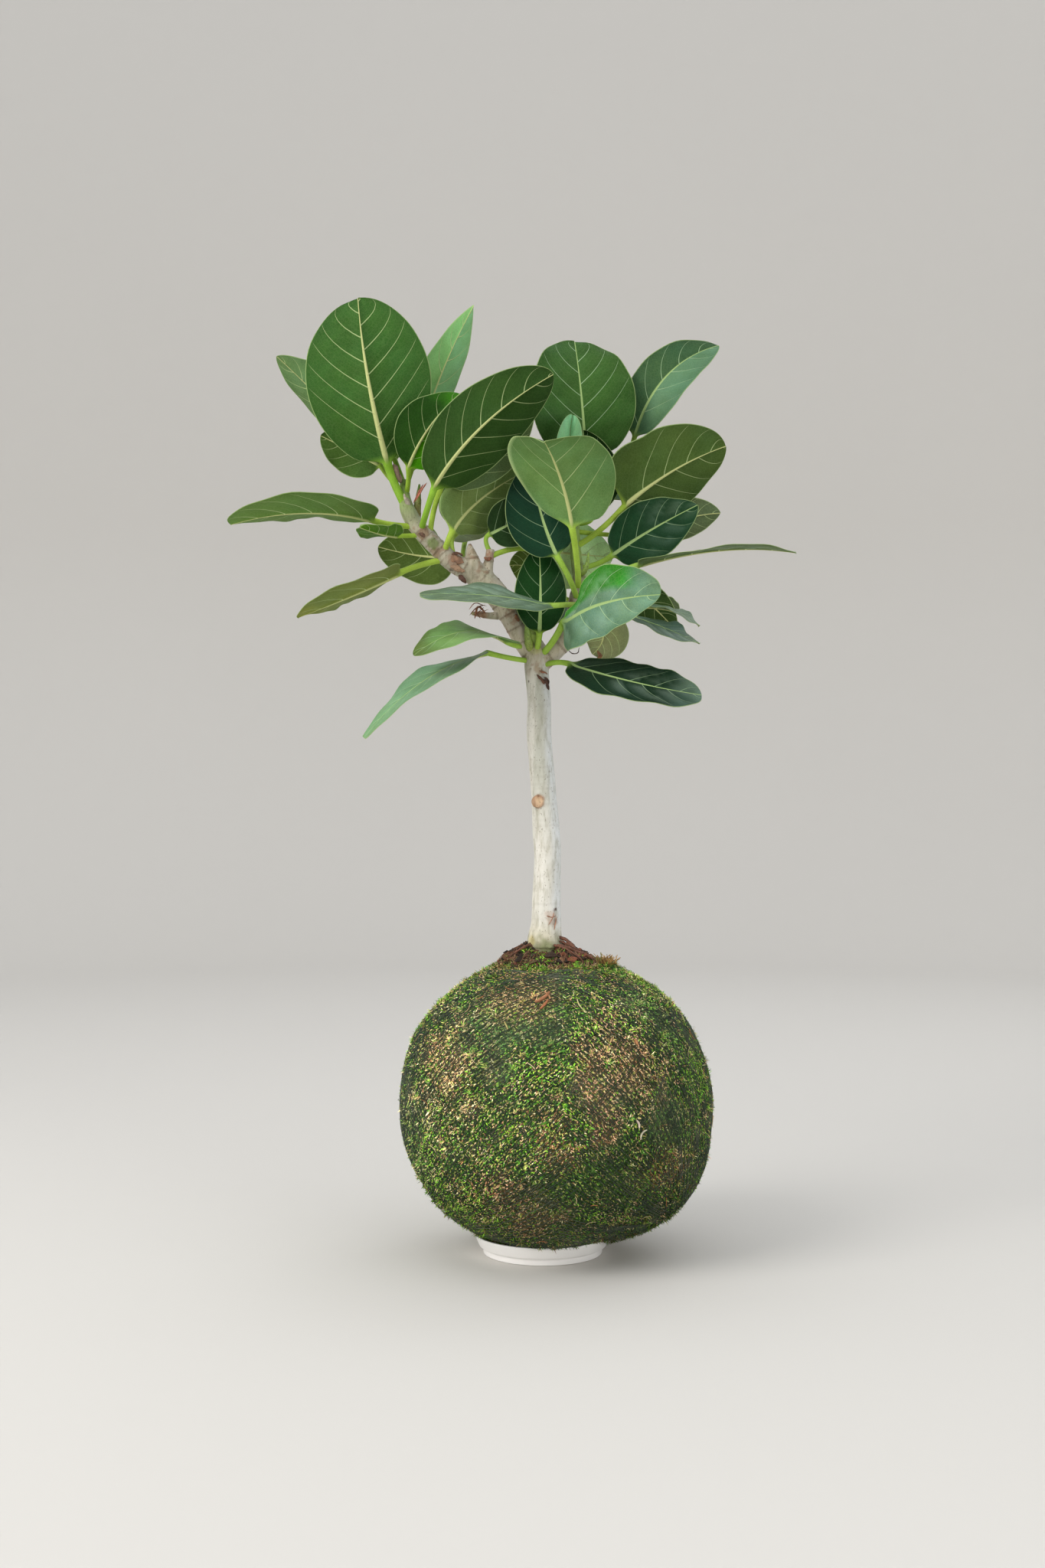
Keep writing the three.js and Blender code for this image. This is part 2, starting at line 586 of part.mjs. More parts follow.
place('dish', geometryOf(solidOf(turned(dishProfile(0), dish.segments))), colour.dish, 0.35);
place('soil', geometryOf(soil), colour.soil, 1);
place('moss', geometryOf(moss), colour.moss, 1);
place('thread', geometryOf(joined(windings.map((turn) => solidOf(winding(turn))))), colour.thread, 0.9);
place('wood', geometryOf(wood), colour.bark, 0.8);

const rootSolids = roots.map((chain) => solidOf(limb(chain, rootMesh)));
place('roots', geometryOf(joined(rootSolids).subtract(woodWithAir)), colour.root, 0.8);

for (const [name, chain] of Object.entries(buds)) {
  place(name, geometryOf(solidOf(limb(chain, budMesh)).subtract(woodWithAir)), colour.bud, 0.7);
}

leaves.forEach((leaf, order) => {
  const blade = solidOf(loft(leafRings(leaf, order)));
  place(leaf.name, geometryOf(blade.subtract(woodWithAir)), colour[leaf.tone], 0.45);
});

export default object;
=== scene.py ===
import bpy
import json
import numpy as np
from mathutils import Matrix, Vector

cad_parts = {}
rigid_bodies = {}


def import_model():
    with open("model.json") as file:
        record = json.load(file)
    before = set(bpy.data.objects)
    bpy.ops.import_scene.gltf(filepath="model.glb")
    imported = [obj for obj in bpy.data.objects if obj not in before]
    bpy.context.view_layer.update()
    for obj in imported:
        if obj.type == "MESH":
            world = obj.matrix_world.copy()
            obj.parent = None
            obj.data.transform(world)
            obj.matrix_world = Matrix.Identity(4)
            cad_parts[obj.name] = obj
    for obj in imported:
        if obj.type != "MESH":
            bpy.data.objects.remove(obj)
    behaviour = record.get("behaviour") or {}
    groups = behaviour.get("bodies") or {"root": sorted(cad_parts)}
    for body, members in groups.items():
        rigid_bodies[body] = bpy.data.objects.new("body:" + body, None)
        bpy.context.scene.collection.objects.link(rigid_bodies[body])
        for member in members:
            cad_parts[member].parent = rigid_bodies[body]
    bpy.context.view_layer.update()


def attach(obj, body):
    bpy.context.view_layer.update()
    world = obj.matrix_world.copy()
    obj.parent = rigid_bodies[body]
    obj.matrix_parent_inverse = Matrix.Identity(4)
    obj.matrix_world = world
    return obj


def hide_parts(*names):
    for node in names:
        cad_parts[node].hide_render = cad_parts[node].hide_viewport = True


# Kokedama moss ball plant: every visible surface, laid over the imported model.
# Lengths below are millimetres; makePiece turns them into Blender's metres.

for thing in list(bpy.data.objects):  # Blender's own starting cube, lamp and camera
    bpy.data.objects.remove(thing)
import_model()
mm = 0.001
tau = 2 * np.pi
upright = np.array([0, 0, 1.0])
toCamera = np.array([0, -1.0, 0])


def linear(colour):
    # screen colour 0-255 to the linear values that shaders use: c/12.92 below 0.04, else a 2.4 power
    c = np.asarray(colour, float) / 255
    return np.where(c <= 0.04045, c / 12.92, ((c + 0.055) / 1.055) ** 2.4)


def mixed(colour, tone, share):
    # colour (1 - share) + tone share, the tone given as a screen colour
    return colour * (1 - share) + linear(tone) * share


def unit(v):
    # every vector divided by its own length
    return v / np.maximum(np.linalg.norm(v, axis=-1, keepdims=True), 1e-9)


def smooth(low, high, x):
    # 0 below low, 1 above high, with an S-shaped rise 3x^2 - 2x^3 between them
    x = np.clip((x - low) / (high - low), 0, 1)
    return x * x * (3 - 2 * x)


def squareTo(normal, along):
    # the part of normal that stands square to along, as a unit vector
    return unit(normal - (normal * along).sum(-1, keepdims=True) * along)


noiseTable = np.random.default_rng(11).random((32, 32, 32)) * 2 - 1


def noise(points, size, shift):
    # smooth lattice noise from -1 to 1: random values at the corners of cubes of the given size,
    # blended across each cube by the S-curve of the place inside it
    p = np.asarray(points, float) / size + shift
    cell = np.floor(p).astype(int)
    f = p - cell
    f = f * f * (3 - 2 * f)
    total = 0
    for corner in np.ndindex(2, 2, 2):
        at = (cell + corner) % 32
        weight = np.prod(np.where(corner, f, 1 - f), axis=-1)
        total = total + weight * noiseTable[at[..., 0], at[..., 1], at[..., 2]]
    return total


def gridFaces(rows, columns):
    # quads between neighbouring rows and columns of a grid numbered row by row, columns run round
    i, j = np.meshgrid(np.arange(rows - 1) * columns, np.arange(columns), indexing="ij")
    k = (j + 1) % columns
    return np.stack([i + j, i + k, i + columns + k, i + columns + j], -1).reshape(-1, 4)


def closedGrid(grid):
    # a rows x columns x 3 grid whose columns run round, shut at both ends by a fan to the ring's middle
    rows, columns = grid.shape[:2]
    j = np.arange(columns)
    k = (j + 1) % columns
    end, pole = (rows - 1) * columns, np.full(columns, rows * columns)
    first = np.stack([k, j, pole], -1)
    last = np.stack([end + j, end + k, pole + 1], -1)
    return endValues(grid), [gridFaces(rows, columns), first, last]


def turned(profile, columns, middle=0.0):
    # a profile of [radius, height] rows turned about the upright axis: x = middle + r cos a,
    # y = r sin a
    a = tau * np.arange(columns) / columns
    r, z = profile[:, :1], profile[:, 1:]
    return np.stack([middle + r * np.cos(a), r * np.sin(a), z * np.ones_like(a)], -1)


def endValues(values):
    # a grid row by row and then the mean of its first and last row, for places and carried values
    return np.concatenate([values.reshape(-1, *values.shape[2:]), values[:1].mean(1), values[-1:].mean(1)])


def makePiece(name, points, faces, material, stands, values=None, shiny=True):
    # one mesh from points in millimetres and a list of triangle and quad tables; values holds
    # a number, vector or colour for each point by name, read by the materials. Every piece rides
    # on the one body, takes its material, and hides the solids it stands for
    mesh = bpy.data.meshes.new(name)
    corners = np.concatenate([f.ravel() for f in faces]).astype(np.int32)
    sizes = np.concatenate([np.full(len(f), f.shape[1]) for f in faces])
    starts = np.concatenate([[0], np.cumsum(sizes)[:-1]]).astype(np.int32)
    mesh.vertices.add(len(points))
    mesh.vertices.foreach_set("co", (np.asarray(points, float) * mm).ravel().astype(np.float32))
    mesh.loops.add(len(corners))
    mesh.loops.foreach_set("vertex_index", corners)
    mesh.polygons.add(len(sizes))
    mesh.polygons.foreach_set("loop_start", starts)
    mesh.polygons.foreach_set("use_smooth", np.full(len(sizes), shiny))
    mesh.update(calc_edges=True)
    for key, table in (values or {}).items():
        carryValues(mesh, key, table)
    mesh.materials.append(material)
    piece = addObject(name, mesh)
    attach(piece, "root")
    if stands:
        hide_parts(*stands)


def addObject(name, data):
    # a new object at the origin, linked into the scene
    thing = bpy.data.objects.new(name, data)
    bpy.context.scene.collection.objects.link(thing)
    return thing


def carryValues(mesh, key, values):
    # stores one value for each point: a number, a vector, or a colour (named ...Tint)
    values = np.asarray(values, np.float32)
    if key.lower().endswith("tint"):
        values = np.concatenate([values, np.ones((len(values), 1), np.float32)], 1)
        mesh.attributes.new(key, "FLOAT_COLOR", "POINT").data.foreach_set("color", values.ravel())
    elif values.ndim == 2:
        mesh.attributes.new(key, "FLOAT_VECTOR", "POINT").data.foreach_set("vector", values.ravel())
    else:
        mesh.attributes.new(key, "FLOAT", "POINT").data.foreach_set("value", values)


def catmullRom(chain, steps):
    # centripetal Catmull-Rom curve through the first three columns of chain, at steps + 1 even
    # parameters; any further columns, such as the radius, run straight from link to link
    chain = np.asarray(chain, float)
    p = chain[:, :3]
    ends = np.concatenate([[2 * p[0] - p[1]], p, [2 * p[-1] - p[-2]]])
    t = np.linspace(0, len(p) - 1, steps + 1)
    link = np.minimum(t.astype(int), len(p) - 2)
    w = t - link
    a, b, c, d = (ends[link + k] for k in range(4))
    gaps = [np.maximum(np.linalg.norm(y - x, axis=1, keepdims=True) ** 0.5, 1e-4)
            for x, y in ((a, b), (b, c), (c, d))]
    before = ((b - a) / gaps[0] - (c - a) / (gaps[0] + gaps[1]) + (c - b) / gaps[1]) * gaps[1]
    after = ((c - b) / gaps[1] - (d - b) / (gaps[1] + gaps[2]) + (d - c) / gaps[2]) * gaps[1]
    w = w[:, None]
    point = (b + before * w + (3 * (c - b) - 2 * before - after) * w ** 2
             + (2 * (b - c) + before + after) * w ** 3)
    return point, chain[link, 3:] * (1 - w) + chain[link + 1, 3:] * w


def bowed(first, middle, last, s):
    # a curve from first to last that leans to middle: (1-s)^2 first + 2 s (1-s) middle + s^2 last
    return first * (1 - s) ** 2 + 2 * middle * s * (1 - s) + last * s ** 2


def rings(first, second, angles):
    # cos(a) first + sin(a) second for each point of a path and each angle
    return (np.cos(angles)[None, :, None] * first[:, None]
            + np.sin(angles)[None, :, None] * second[:, None])


def tube(path, radius, sides, swell=1.0):
    # a round tube: path + radius (cos a, sin a) in the two directions square to it, the first as
    # near as can be to that of the three axes which the path follows least; swell is a table of
    # factors for each ring and each angle
    along = unit(np.gradient(path, axis=0))
    side = squareTo(np.eye(3)[np.argmin(np.abs(along).max(0))], along)
    reach = np.broadcast_to(np.reshape(radius, (-1, 1)) * swell, (len(path), sides))[..., None]
    return path[:, None] + reach * rings(side, np.cross(along, side), tau * np.arange(sides) / sides)


def gather(parts):
    # several (points, faces, values) sets as one, the faces renumbered; values may be None
    points, faces, values = zip(*parts)
    starts = np.cumsum([0] + [len(p) for p in points])
    faces = [table + start for tables, start in zip(faces, starts) for table in tables]
    return np.concatenate(points), faces, None if values[0] is None else np.concatenate(values)


def makeGathered(name, parts, material, stands, key):
    # one piece from several sets, each with the colour of its points
    points, faces, colour = gather(parts)
    makePiece(name, points, faces, material, stands, {key: colour})


def calc(tree, kind, *values):
    # one Math node; each value is a number or another node's output
    node = tree.nodes.new("ShaderNodeMath")
    node.operation = kind
    for socket, value in zip(node.inputs, values):
        feed(tree, socket, value)
    return node.outputs[0]


def times(tree, first, second):
    return calc(tree, "MULTIPLY", first, second)


def feed(tree, socket, value):
    # another node's output is linked, a constant is set
    if isinstance(value, bpy.types.NodeSocket):
        tree.links.new(value, socket)
    else:
        socket.default_value = value


def ramp(tree, value, low, high, start, end):
    # value from low..high to start..end along an S-curve
    node = tree.nodes.new("ShaderNodeMapRange")
    node.interpolation_type = "SMOOTHSTEP"
    for socket, v in zip(node.inputs, (value, low, high, start, end)):
        feed(tree, socket, v)
    return node.outputs["Result"]


def blendColour(tree, amount, first, second, kind="MIX"):
    node = tree.nodes.new("ShaderNodeMix")
    node.data_type = "RGBA"
    node.blend_type = kind
    feed(tree, node.inputs["Factor"], amount)
    for socket, colour in ((node.inputs[6], first), (node.inputs[7], second)):
        feed(tree, socket, colour if isinstance(colour, bpy.types.NodeSocket) else rgba(colour))
    return node.outputs[2]


def rgba(colour):
    return (*linear(colour), 1)


def speckle(tree, where, scale, detail, rough, stretch=None):
    # noise from 0 to 1 on the given coordinates, in cycles per unit
    if stretch:
        node = tree.nodes.new("ShaderNodeMapping")
        node.inputs["Scale"].default_value = stretch
        tree.links.new(where, node.inputs["Vector"])
        where = node.outputs[0]
    node = tree.nodes.new("ShaderNodeTexNoise")
    tree.links.new(where, node.inputs["Vector"])
    for key, v in (("Scale", scale), ("Detail", detail), ("Roughness", rough)):
        node.inputs[key].default_value = v
    return node.outputs["Fac"]


def carried(tree, key, output="Vector"):
    node = tree.nodes.new("ShaderNodeAttribute")
    node.attribute_name = key
    return node.outputs[output]


def splitVector(tree, vector):
    node = tree.nodes.new("ShaderNodeSeparateXYZ")
    tree.links.new(vector, node.inputs[0])
    return node.outputs


def bump(tree, height, distance, strength):
    node = tree.nodes.new("ShaderNodeBump")
    node.inputs["Distance"].default_value = distance
    node.inputs["Strength"].default_value = strength
    tree.links.new(height, node.inputs["Height"])
    return node.outputs["Normal"]


def newMaterial(name, **fixed):
    # a Principled material; fixed names its sockets' constant values
    material = bpy.data.materials.new(name)
    material.use_nodes = True
    tree = material.node_tree
    shader = tree.nodes["Principled BSDF"]
    for key, value in fixed.items():
        shader.inputs[key.replace("_", " ")].default_value = value
    where = tree.nodes.new("ShaderNodeTexCoord").outputs["Object"]
    return material, tree, shader, where


def newGroup(name, takes, gives):
    # an empty shader node group with named number sockets
    group = bpy.data.node_groups.new(name, "ShaderNodeTree")
    for label in takes:
        group.interface.new_socket(label, in_out="INPUT", socket_type="NodeSocketFloat")
    for label in gives:
        group.interface.new_socket(label, in_out="OUTPUT", socket_type="NodeSocketFloat")
    start = group.nodes.new("NodeGroupInput")
    end = group.nodes.new("NodeGroupOutput")
    return group, start.outputs, end.inputs


def place(tree, group, **values):
    node = tree.nodes.new("ShaderNodeGroup")
    node.node_tree = group
    for label, value in values.items():
        feed(tree, node.inputs[label], value)
    return node.outputs


leafForm = dict(
    stalkRings=10, bladeRings=40, sideColumns=7,
    thickness=0.55, blend=0.07, ease=0.45, tipHalf=0.45,
    slope=0.78, sweep=0.13,  # how steeply a side vein leaves the rib, and how far it curves up
    wave=1.4, waves=1.6, shift=1.7, sideShift=2.2,  # the long ripple of the margins
    quilt=0.3, veinGap=23,  # how far the skin swells between the side veins, and their distance
    pairs=(4.5, 7.2), ruffles=4.3,  # fewest and most side veins on a side; small ripples of a margin
)

# what a leaf has where its row says nothing: where it is widest and how blunt it is, how much
# narrower its left and right sides are towards the tip and the stalk, how far its sides lean on,
# the height of the small ripples, the painted light and shade step between side veins, and its
# painted sheen
plainLeaf = dict(widest=0.45, blunt=0.62, tipIn=(0, 0), baseIn=(0, 0), lean=0, ruffle=0.5,
                 relief=0.18, frost=0)
sheenColour = (176, 198, 184)

# colours of the leaf kinds: upper side, underside, stalk
leafLooks = dict(
    moss=dict(upper=(66, 104, 52), under=(64, 98, 46), petiole=(160, 188, 78)),
    olive=dict(upper=(58, 92, 44), under=(62, 96, 44), petiole=(144, 187, 65)),
    young=dict(upper=(76, 142, 40), under=(84, 140, 44), petiole=(171, 205, 78)),
    drab=dict(upper=(72, 104, 56), under=(82, 104, 52), petiole=(171, 199, 80)),
    ash=dict(upper=(112, 138, 106), under=(120, 140, 104), petiole=(171, 199, 93)),
    deep=dict(upper=(34, 66, 44), under=(62, 84, 42), petiole=(157, 192, 80)),
    lime=dict(upper=(96, 146, 88), under=(104, 152, 84), petiole=(171, 199, 78)),
    forest=dict(upper=(46, 82, 44), under=(78, 100, 52), petiole=(160, 192, 78)),
    blue=dict(upper=(88, 130, 110), under=(92, 116, 64), petiole=(160, 192, 86)),
    sage=dict(upper=(84, 118, 74), under=(100, 134, 74), petiole=(178, 210, 86)),
    fresh=dict(upper=(58, 116, 68), under=(88, 130, 66), petiole=(160, 196, 82)),
    mint=dict(upper=(92, 146, 100), under=(92, 130, 62), petiole=(160, 196, 82)),
)



def leafRow(name, root, rib, wide, roll, fold, stalk, look, side, face, **more):
    # a leaf's values by name: where its stalk starts, points along its rib, width, turn about the
    # rib and fold of its two sides in degrees, stalk radius, kind, the side that the camera sees
    # and the colour measured there, partly the leaf's own colour and partly painted light and shade
    return dict(plainLeaf, name=name, root=root, rib=rib, wide=wide, roll=roll, fold=fold,
                stalk=stalk, look=look, side=side, face=face, **more)


hidden = ("forest", "upper", (52, 88, 46))  # kind, side and colour of the leaves behind the others
leaves = [
    leafRow("left_1", (-118, 6, 647), [(-134, 26, 668), (-184, 46, 720), (-229, 42, 763)],
            62, 125, (6, 6), 2.4, "moss", "underside", (100, 134, 86)),
    leafRow("left_2", (-114, -5, 624), [(-130, -8, 661), (-145, -22, 728), (-156, 6, 803)],
            105, 180, (6, 6), 4, "olive", "underside", (56, 96, 38), widest=0.52, blunt=0.44,
            relief=0.26),
    # left_3: its dark face colour is painted shade; its bright other half and tip are painted light shining
    # through the leaf
    leafRow("left_3", (-115, 3, 637), [(-112, -16, 656), (-94, -34, 686), (-69, -20, 717)],
            54, 180, (5, 5), 2.4, "young", "young", (32, 69, 13), bend=(-112, -5, 646),
            otherHalf=(72, 146, 8), tipTint=(60, 124, 20)),
    leafRow("left_4", (-102, -5, 606), [(-90, -34, 636), (-49, -60, 683), (8, -48, 727)],
            66, 180, (34, 5), 3, "olive", "underside", (44, 74, 27), bend=(-98, -28, 614), blunt=0.44),
    leafRow("left_5", (-117, 3, 639), [(-137, 8, 662), (-164, 18, 677), (-189, 20, 690)],
            42, 165, (6, 6), 2.2, "moss", "underside", (70, 102, 41), bend=(-128, 8, 648),
            strip=(-1, 0.82, (186, 206, 160), 2)),
    leafRow("left_6", (-107, -5, 609), [(-140, -25, 611), (-193, -55, 614), (-255, -50, 605)],
            72, 98, (8, 8), 2.7, "drab", "underside", (100, 134, 62), widest=0.5, blunt=0.42),
    leafRow("left_7", (-101, -5, 602), [(-121, -22, 599), (-134, -46, 598), (-148, -70, 600)],
            34, 105, (8, 8), 2.2, "young", "young", (82, 128, 22)),
    leafRow("left_8", (-84, -5, 587), [(-79, 20, 587), (-107, 36, 590), (-141, 32, 597)],
            56, 150, (6, 6), 2.4, "drab", "underside", (83, 105, 45)),
    leafRow("left_9", (-80, -5, 582), [(-119, -24, 568), (-159, -50, 546), (-200, -45, 530)],
            62, 98, (5, 5), 2.9, "drab", "underside", (117, 130, 61), blunt=0.5, tipTint=(132, 138, 52)),
    leafRow("left_10", (-95, -3, 598), [(-84, -20, 641), (-46, -28, 678), (-8, -18, 712)],
            64, 180, (20, 10), 2.6, "drab", "underside", (88, 108, 66), bend=(-93, -13, 622)),
    leafRow("left_11", (-83, -5, 586), [(-76, -14, 603), (-53, 4, 633), (-13, 18, 660)],
            60, 214, (6, 6), 2.8, "drab", "underside", (118, 140, 80), baseIn=(0.5, 0), tipIn=(0.3, 0),
            strip=(1, 0.88, (170, 196, 120), 2), widest=0.38),
    leafRow("left_12", (-72, -5, 578), [(-74, 8, 604), (-50, 28, 619), (-9, 42, 634)],
            42, 238, (5, 5), 2.4, "ash", "underside", (150, 162, 130)),
    leafRow("left_13", (-45, -3, 589), [(-45, -7, 602), (-24, -7, 613), (1, 0, 629)],
            42, 0, (5, 5), 2.2, "deep", "upper", (34, 58, 26)),
    # left_14: the pale other half is painted light on the half that turns away from the lamps
    leafRow("left_14", (-117, 5, 642), [(-112, 12, 657), (-91, 22, 732), (-59, 32, 804)],
            45, 222, (8, 8), 2.4, "lime", "young", (138, 194, 119), tipIn=(-0.45, 0.1), baseIn=(-0.3, 0),
            widest=0.4, blunt=0.8, otherHalf=(140, 196, 138)),
    leafRow("top_1", (36, 24, 657), [(37, 28, 672), (33, 14, 722), (28, 42, 775)],
            92, 0, (20, 5), 2.4, "forest", "upper", (57, 94, 41), blunt=0.5, ruffle=1.3, relief=0.3),
    leafRow("top_2", (32, 19, 643), [(79, 32, 690), (105, 20, 740), (153, 47, 773)],
            49, -20, (8, 8), 2.2, "blue", "upper", (60, 92, 60), otherHalf=(92, 130, 98)),
    # top_3: its near-black face colour is painted shade, the leaf lying deep between the others
    leafRow("top_3", (29, 14, 614), [(42, 8, 620), (38, 4, 655), (34, 2, 691)],
            56, 0, (8, 8), 2.2, "deep", "upper", (20, 48, 12)),
    leafRow("top_4", (28, 9, 597), [(23, -2, 642), (22, -7, 673), (25, -2, 703)],
            40, 0, (55, 55), 2.2, "blue", "upper", (146, 204, 158), bend=(24, -5, 616)),
    leafRow("mid_1", (30, 4, 556), [(24, -36, 603), (15, -56, 638), (5, -82, 658), (0, -114, 661)],
            90, 160, (4, 28), 2.9, "sage", "underside", (106, 143, 83), bend=(30, -18, 574),
            strip=(1, 0.9, (176, 200, 140), 2), lean=0.16, blunt=0.5, tipIn=(0, 0.42)),
    leafRow("mid_2", (29, 3, 548), [(12, -18, 582), (-2, -14, 620), (-10, 0, 664)],
            60, 0, (5, 5), 2.7, "deep", "upper", (24, 58, 40), bend=(25, -26, 560)),
    # mid_3: its very pale face colour is painted light, raised so the leaf shows bright in the shade of those
    # in front
    leafRow("mid_3", (-44, -4, 584), [(-12, 8, 592), (24, 19, 589), (60, 17, 586)],
            60, 180, (5, 5), 2.6, "sage", "underside", (216, 250, 194)),
    leafRow("mid_4", (28, 3, 548), [(2, 37, 572), (-12, 38, 580), (-28, 36, 581)],
            36, 180, (5, 5), 2, "drab", "underside", (100, 118, 52), bend=(22, 32, 546)),
    leafRow("mid_5", (-6, 0, 503), [(-3, -15, 518), (-2, -10, 554), (-3, 2, 593)],
            44, 0, (5, 5), 2.8, "forest", "upper", (22, 60, 24)),
    leafRow("mid_6", (28, 3, 544), [(6, -32, 540), (-43, -58, 546), (-100, -64, 546)],
            70, 70, (1, 1), 2.6, "blue", "upper", (109, 132, 112), bend=(25, -26, 542), frost=0.4,
            relief=0.3),
    # mid_7: the bright green strip is painted light shining through the leaf
    leafRow("mid_7", (-2, 0, 501), [(17, -26, 527), (49, -66, 539), (93, -84, 544)],
            58, -20, (22, 2), 3.2, "fresh", "upper", (105, 140, 114), bend=(8, -22, 508), lean=-0.35,
            blunt=0.5, baseIn=(0.62, -0.35), ruffle=1.7, frost=0.3, relief=0.4,
            strip=(-1, 0.32, (54, 138, 38), 0.74)),
    leafRow("mid_8", (23, 1, 524), [(44, 5, 533), (51, 3, 517), (42, 1, 502)],
            44, 180, (5, 5), 2.4, "drab", "underside", (143, 149, 109)),
    leafRow("right_1", (28, 9, 594), [(68, 2, 626), (108, 8, 657), (156, 20, 681)],
            78, 212, (8, 8), 2.8, "drab", "underside", (72, 96, 44), bend=(46, 0, 602), baseIn=(0, -0.45),
            blunt=0.5),
    leafRow("right_2", (30, 7, 575), [(58, 0, 585), (90, -2, 606), (131, 8, 629)],
            52, -4, (6, 6), 2.6, "deep", "upper", (28, 66, 39), ruffle=1.4, frost=0.14, relief=0.28),
    leafRow("right_3", (28, 11, 607), [(92, 32, 606), (122, 38, 621), (154, 42, 627)],
            38, 200, (12, 12), 2.2, "drab", "underside", (92, 106, 72), bend=(62, 6, 602)),
    leafRow("right_4", (31, 5, 561), [(77, -32, 573), (141, -58, 583), (206, -50, 582)],
            66, -85, (3, 3), 2.5, "blue", "upper", (112, 132, 104), frost=0.3),
    leafRow("right_5", (29, 3, 547), [(83, 2, 543), (109, -12, 538), (131, -14, 525)],
            40, -76, (3, 3), 2.2, "blue", "upper", (104, 130, 110), frost=0.3),
    leafRow("right_6", (27, 2, 536), [(74, -26, 532), (101, -46, 520), (128, -46, 508)],
            48, -68, (3, 3), 2.3, "blue", "upper", (91, 117, 106), bend=(52, -8, 545), frost=0.35,
            tipTint=(112, 130, 100)),
    leafRow("right_7", (30, 4, 556), [(72, 16, 562), (93, 18, 545), (114, 22, 524)],
            32, 190, (5, 5), 2.1, "drab", "underside", (52, 76, 34)),
    leafRow("low_1", (-5, 0, 491), [(21, -20, 493), (73, -56, 476), (128, -62, 465)],
            55, -50, (2, 2), 2.6, "deep", "upper", (26, 52, 36), widest=0.52, blunt=0.4, ruffle=0.9,
            frost=0.2, relief=0.25, tipTint=(96, 122, 108)),
    leafRow("low_2", (-5, 0, 496), [(-46, -20, 502), (-98, -50, 477), (-147, -46, 431)],
            62, 70, (2, 2), 2.5, "mint", "upper", (116, 159, 117), bend=(-26, -12, 497)),
    leafRow("low_3", (-14, 0, 509), [(-30, -22, 511), (-65, -56, 517), (-105, -64, 497)],
            66, 68, (2, 2), 2.5, "mint", "upper", (129, 170, 102), widest=0.4, blunt=0.45,
            tipTint=(92, 112, 48)),
    leafRow("back_1", (29, 14, 622), [(56, 45, 640), (80, 80, 662), (98, 112, 686)],
            66, -20, (8, 8), 2.3, *hidden),
    leafRow("back_2", (-6, 0, 503), [(0, 40, 532), (8, 85, 556), (12, 128, 566)],
            66, 0, (8, 8), 2.6, *hidden),
    leafRow("back_3", (-65, -5, 573), [(-66, 45, 606), (-60, 77, 640), (-58, 107, 664)],
            62, 0, (8, 8), 2.4, *hidden),
    leafRow("back_4", (-113, 0, 627), [(-127, 38, 672), (-140, 74, 708), (-156, 98, 750)],
            62, 0, (8, 8), 2.3, *hidden, bend=(-112, 34, 636)),
    leafRow("back_5", (31, 17, 633), [(42, 54, 690), (46, 86, 724), (50, 106, 758)],
            58, 0, (8, 8), 2.2, *hidden, bend=(36, 42, 650)),
    leafRow("back_6", (29, 3, 551), [(54, 44, 552), (88, 82, 558), (122, 110, 550)],
            66, -80, (6, 6), 2.4, *hidden),
]


def lagrange(points, t):
    # the polynomial through evenly spaced points: each point weighted by the product of
    # (t n - j) / (i - j) over the others
    points = np.asarray(points, float)
    last = len(points) - 1
    total = 0
    for i, point in enumerate(points):
        weight = np.ones_like(t)
        for j in range(last + 1):
            if j != i:
                weight = weight * (t * last - j) / (i - j)
        total = total + weight[:, None] * point
    return total


def ribDirection(points, t):
    return unit(lagrange(points, t + 0.001) - lagrange(points, t - 0.001))


def turnAbout(v, axis, degrees):
    # Rodrigues' turn: v cos a + (axis x v) sin a + axis (axis.v)(1 - cos a)
    a = np.radians(degrees)
    return v * np.cos(a) + np.cross(axis, v) * np.sin(a) + axis * (axis @ v) * (1 - np.cos(a))


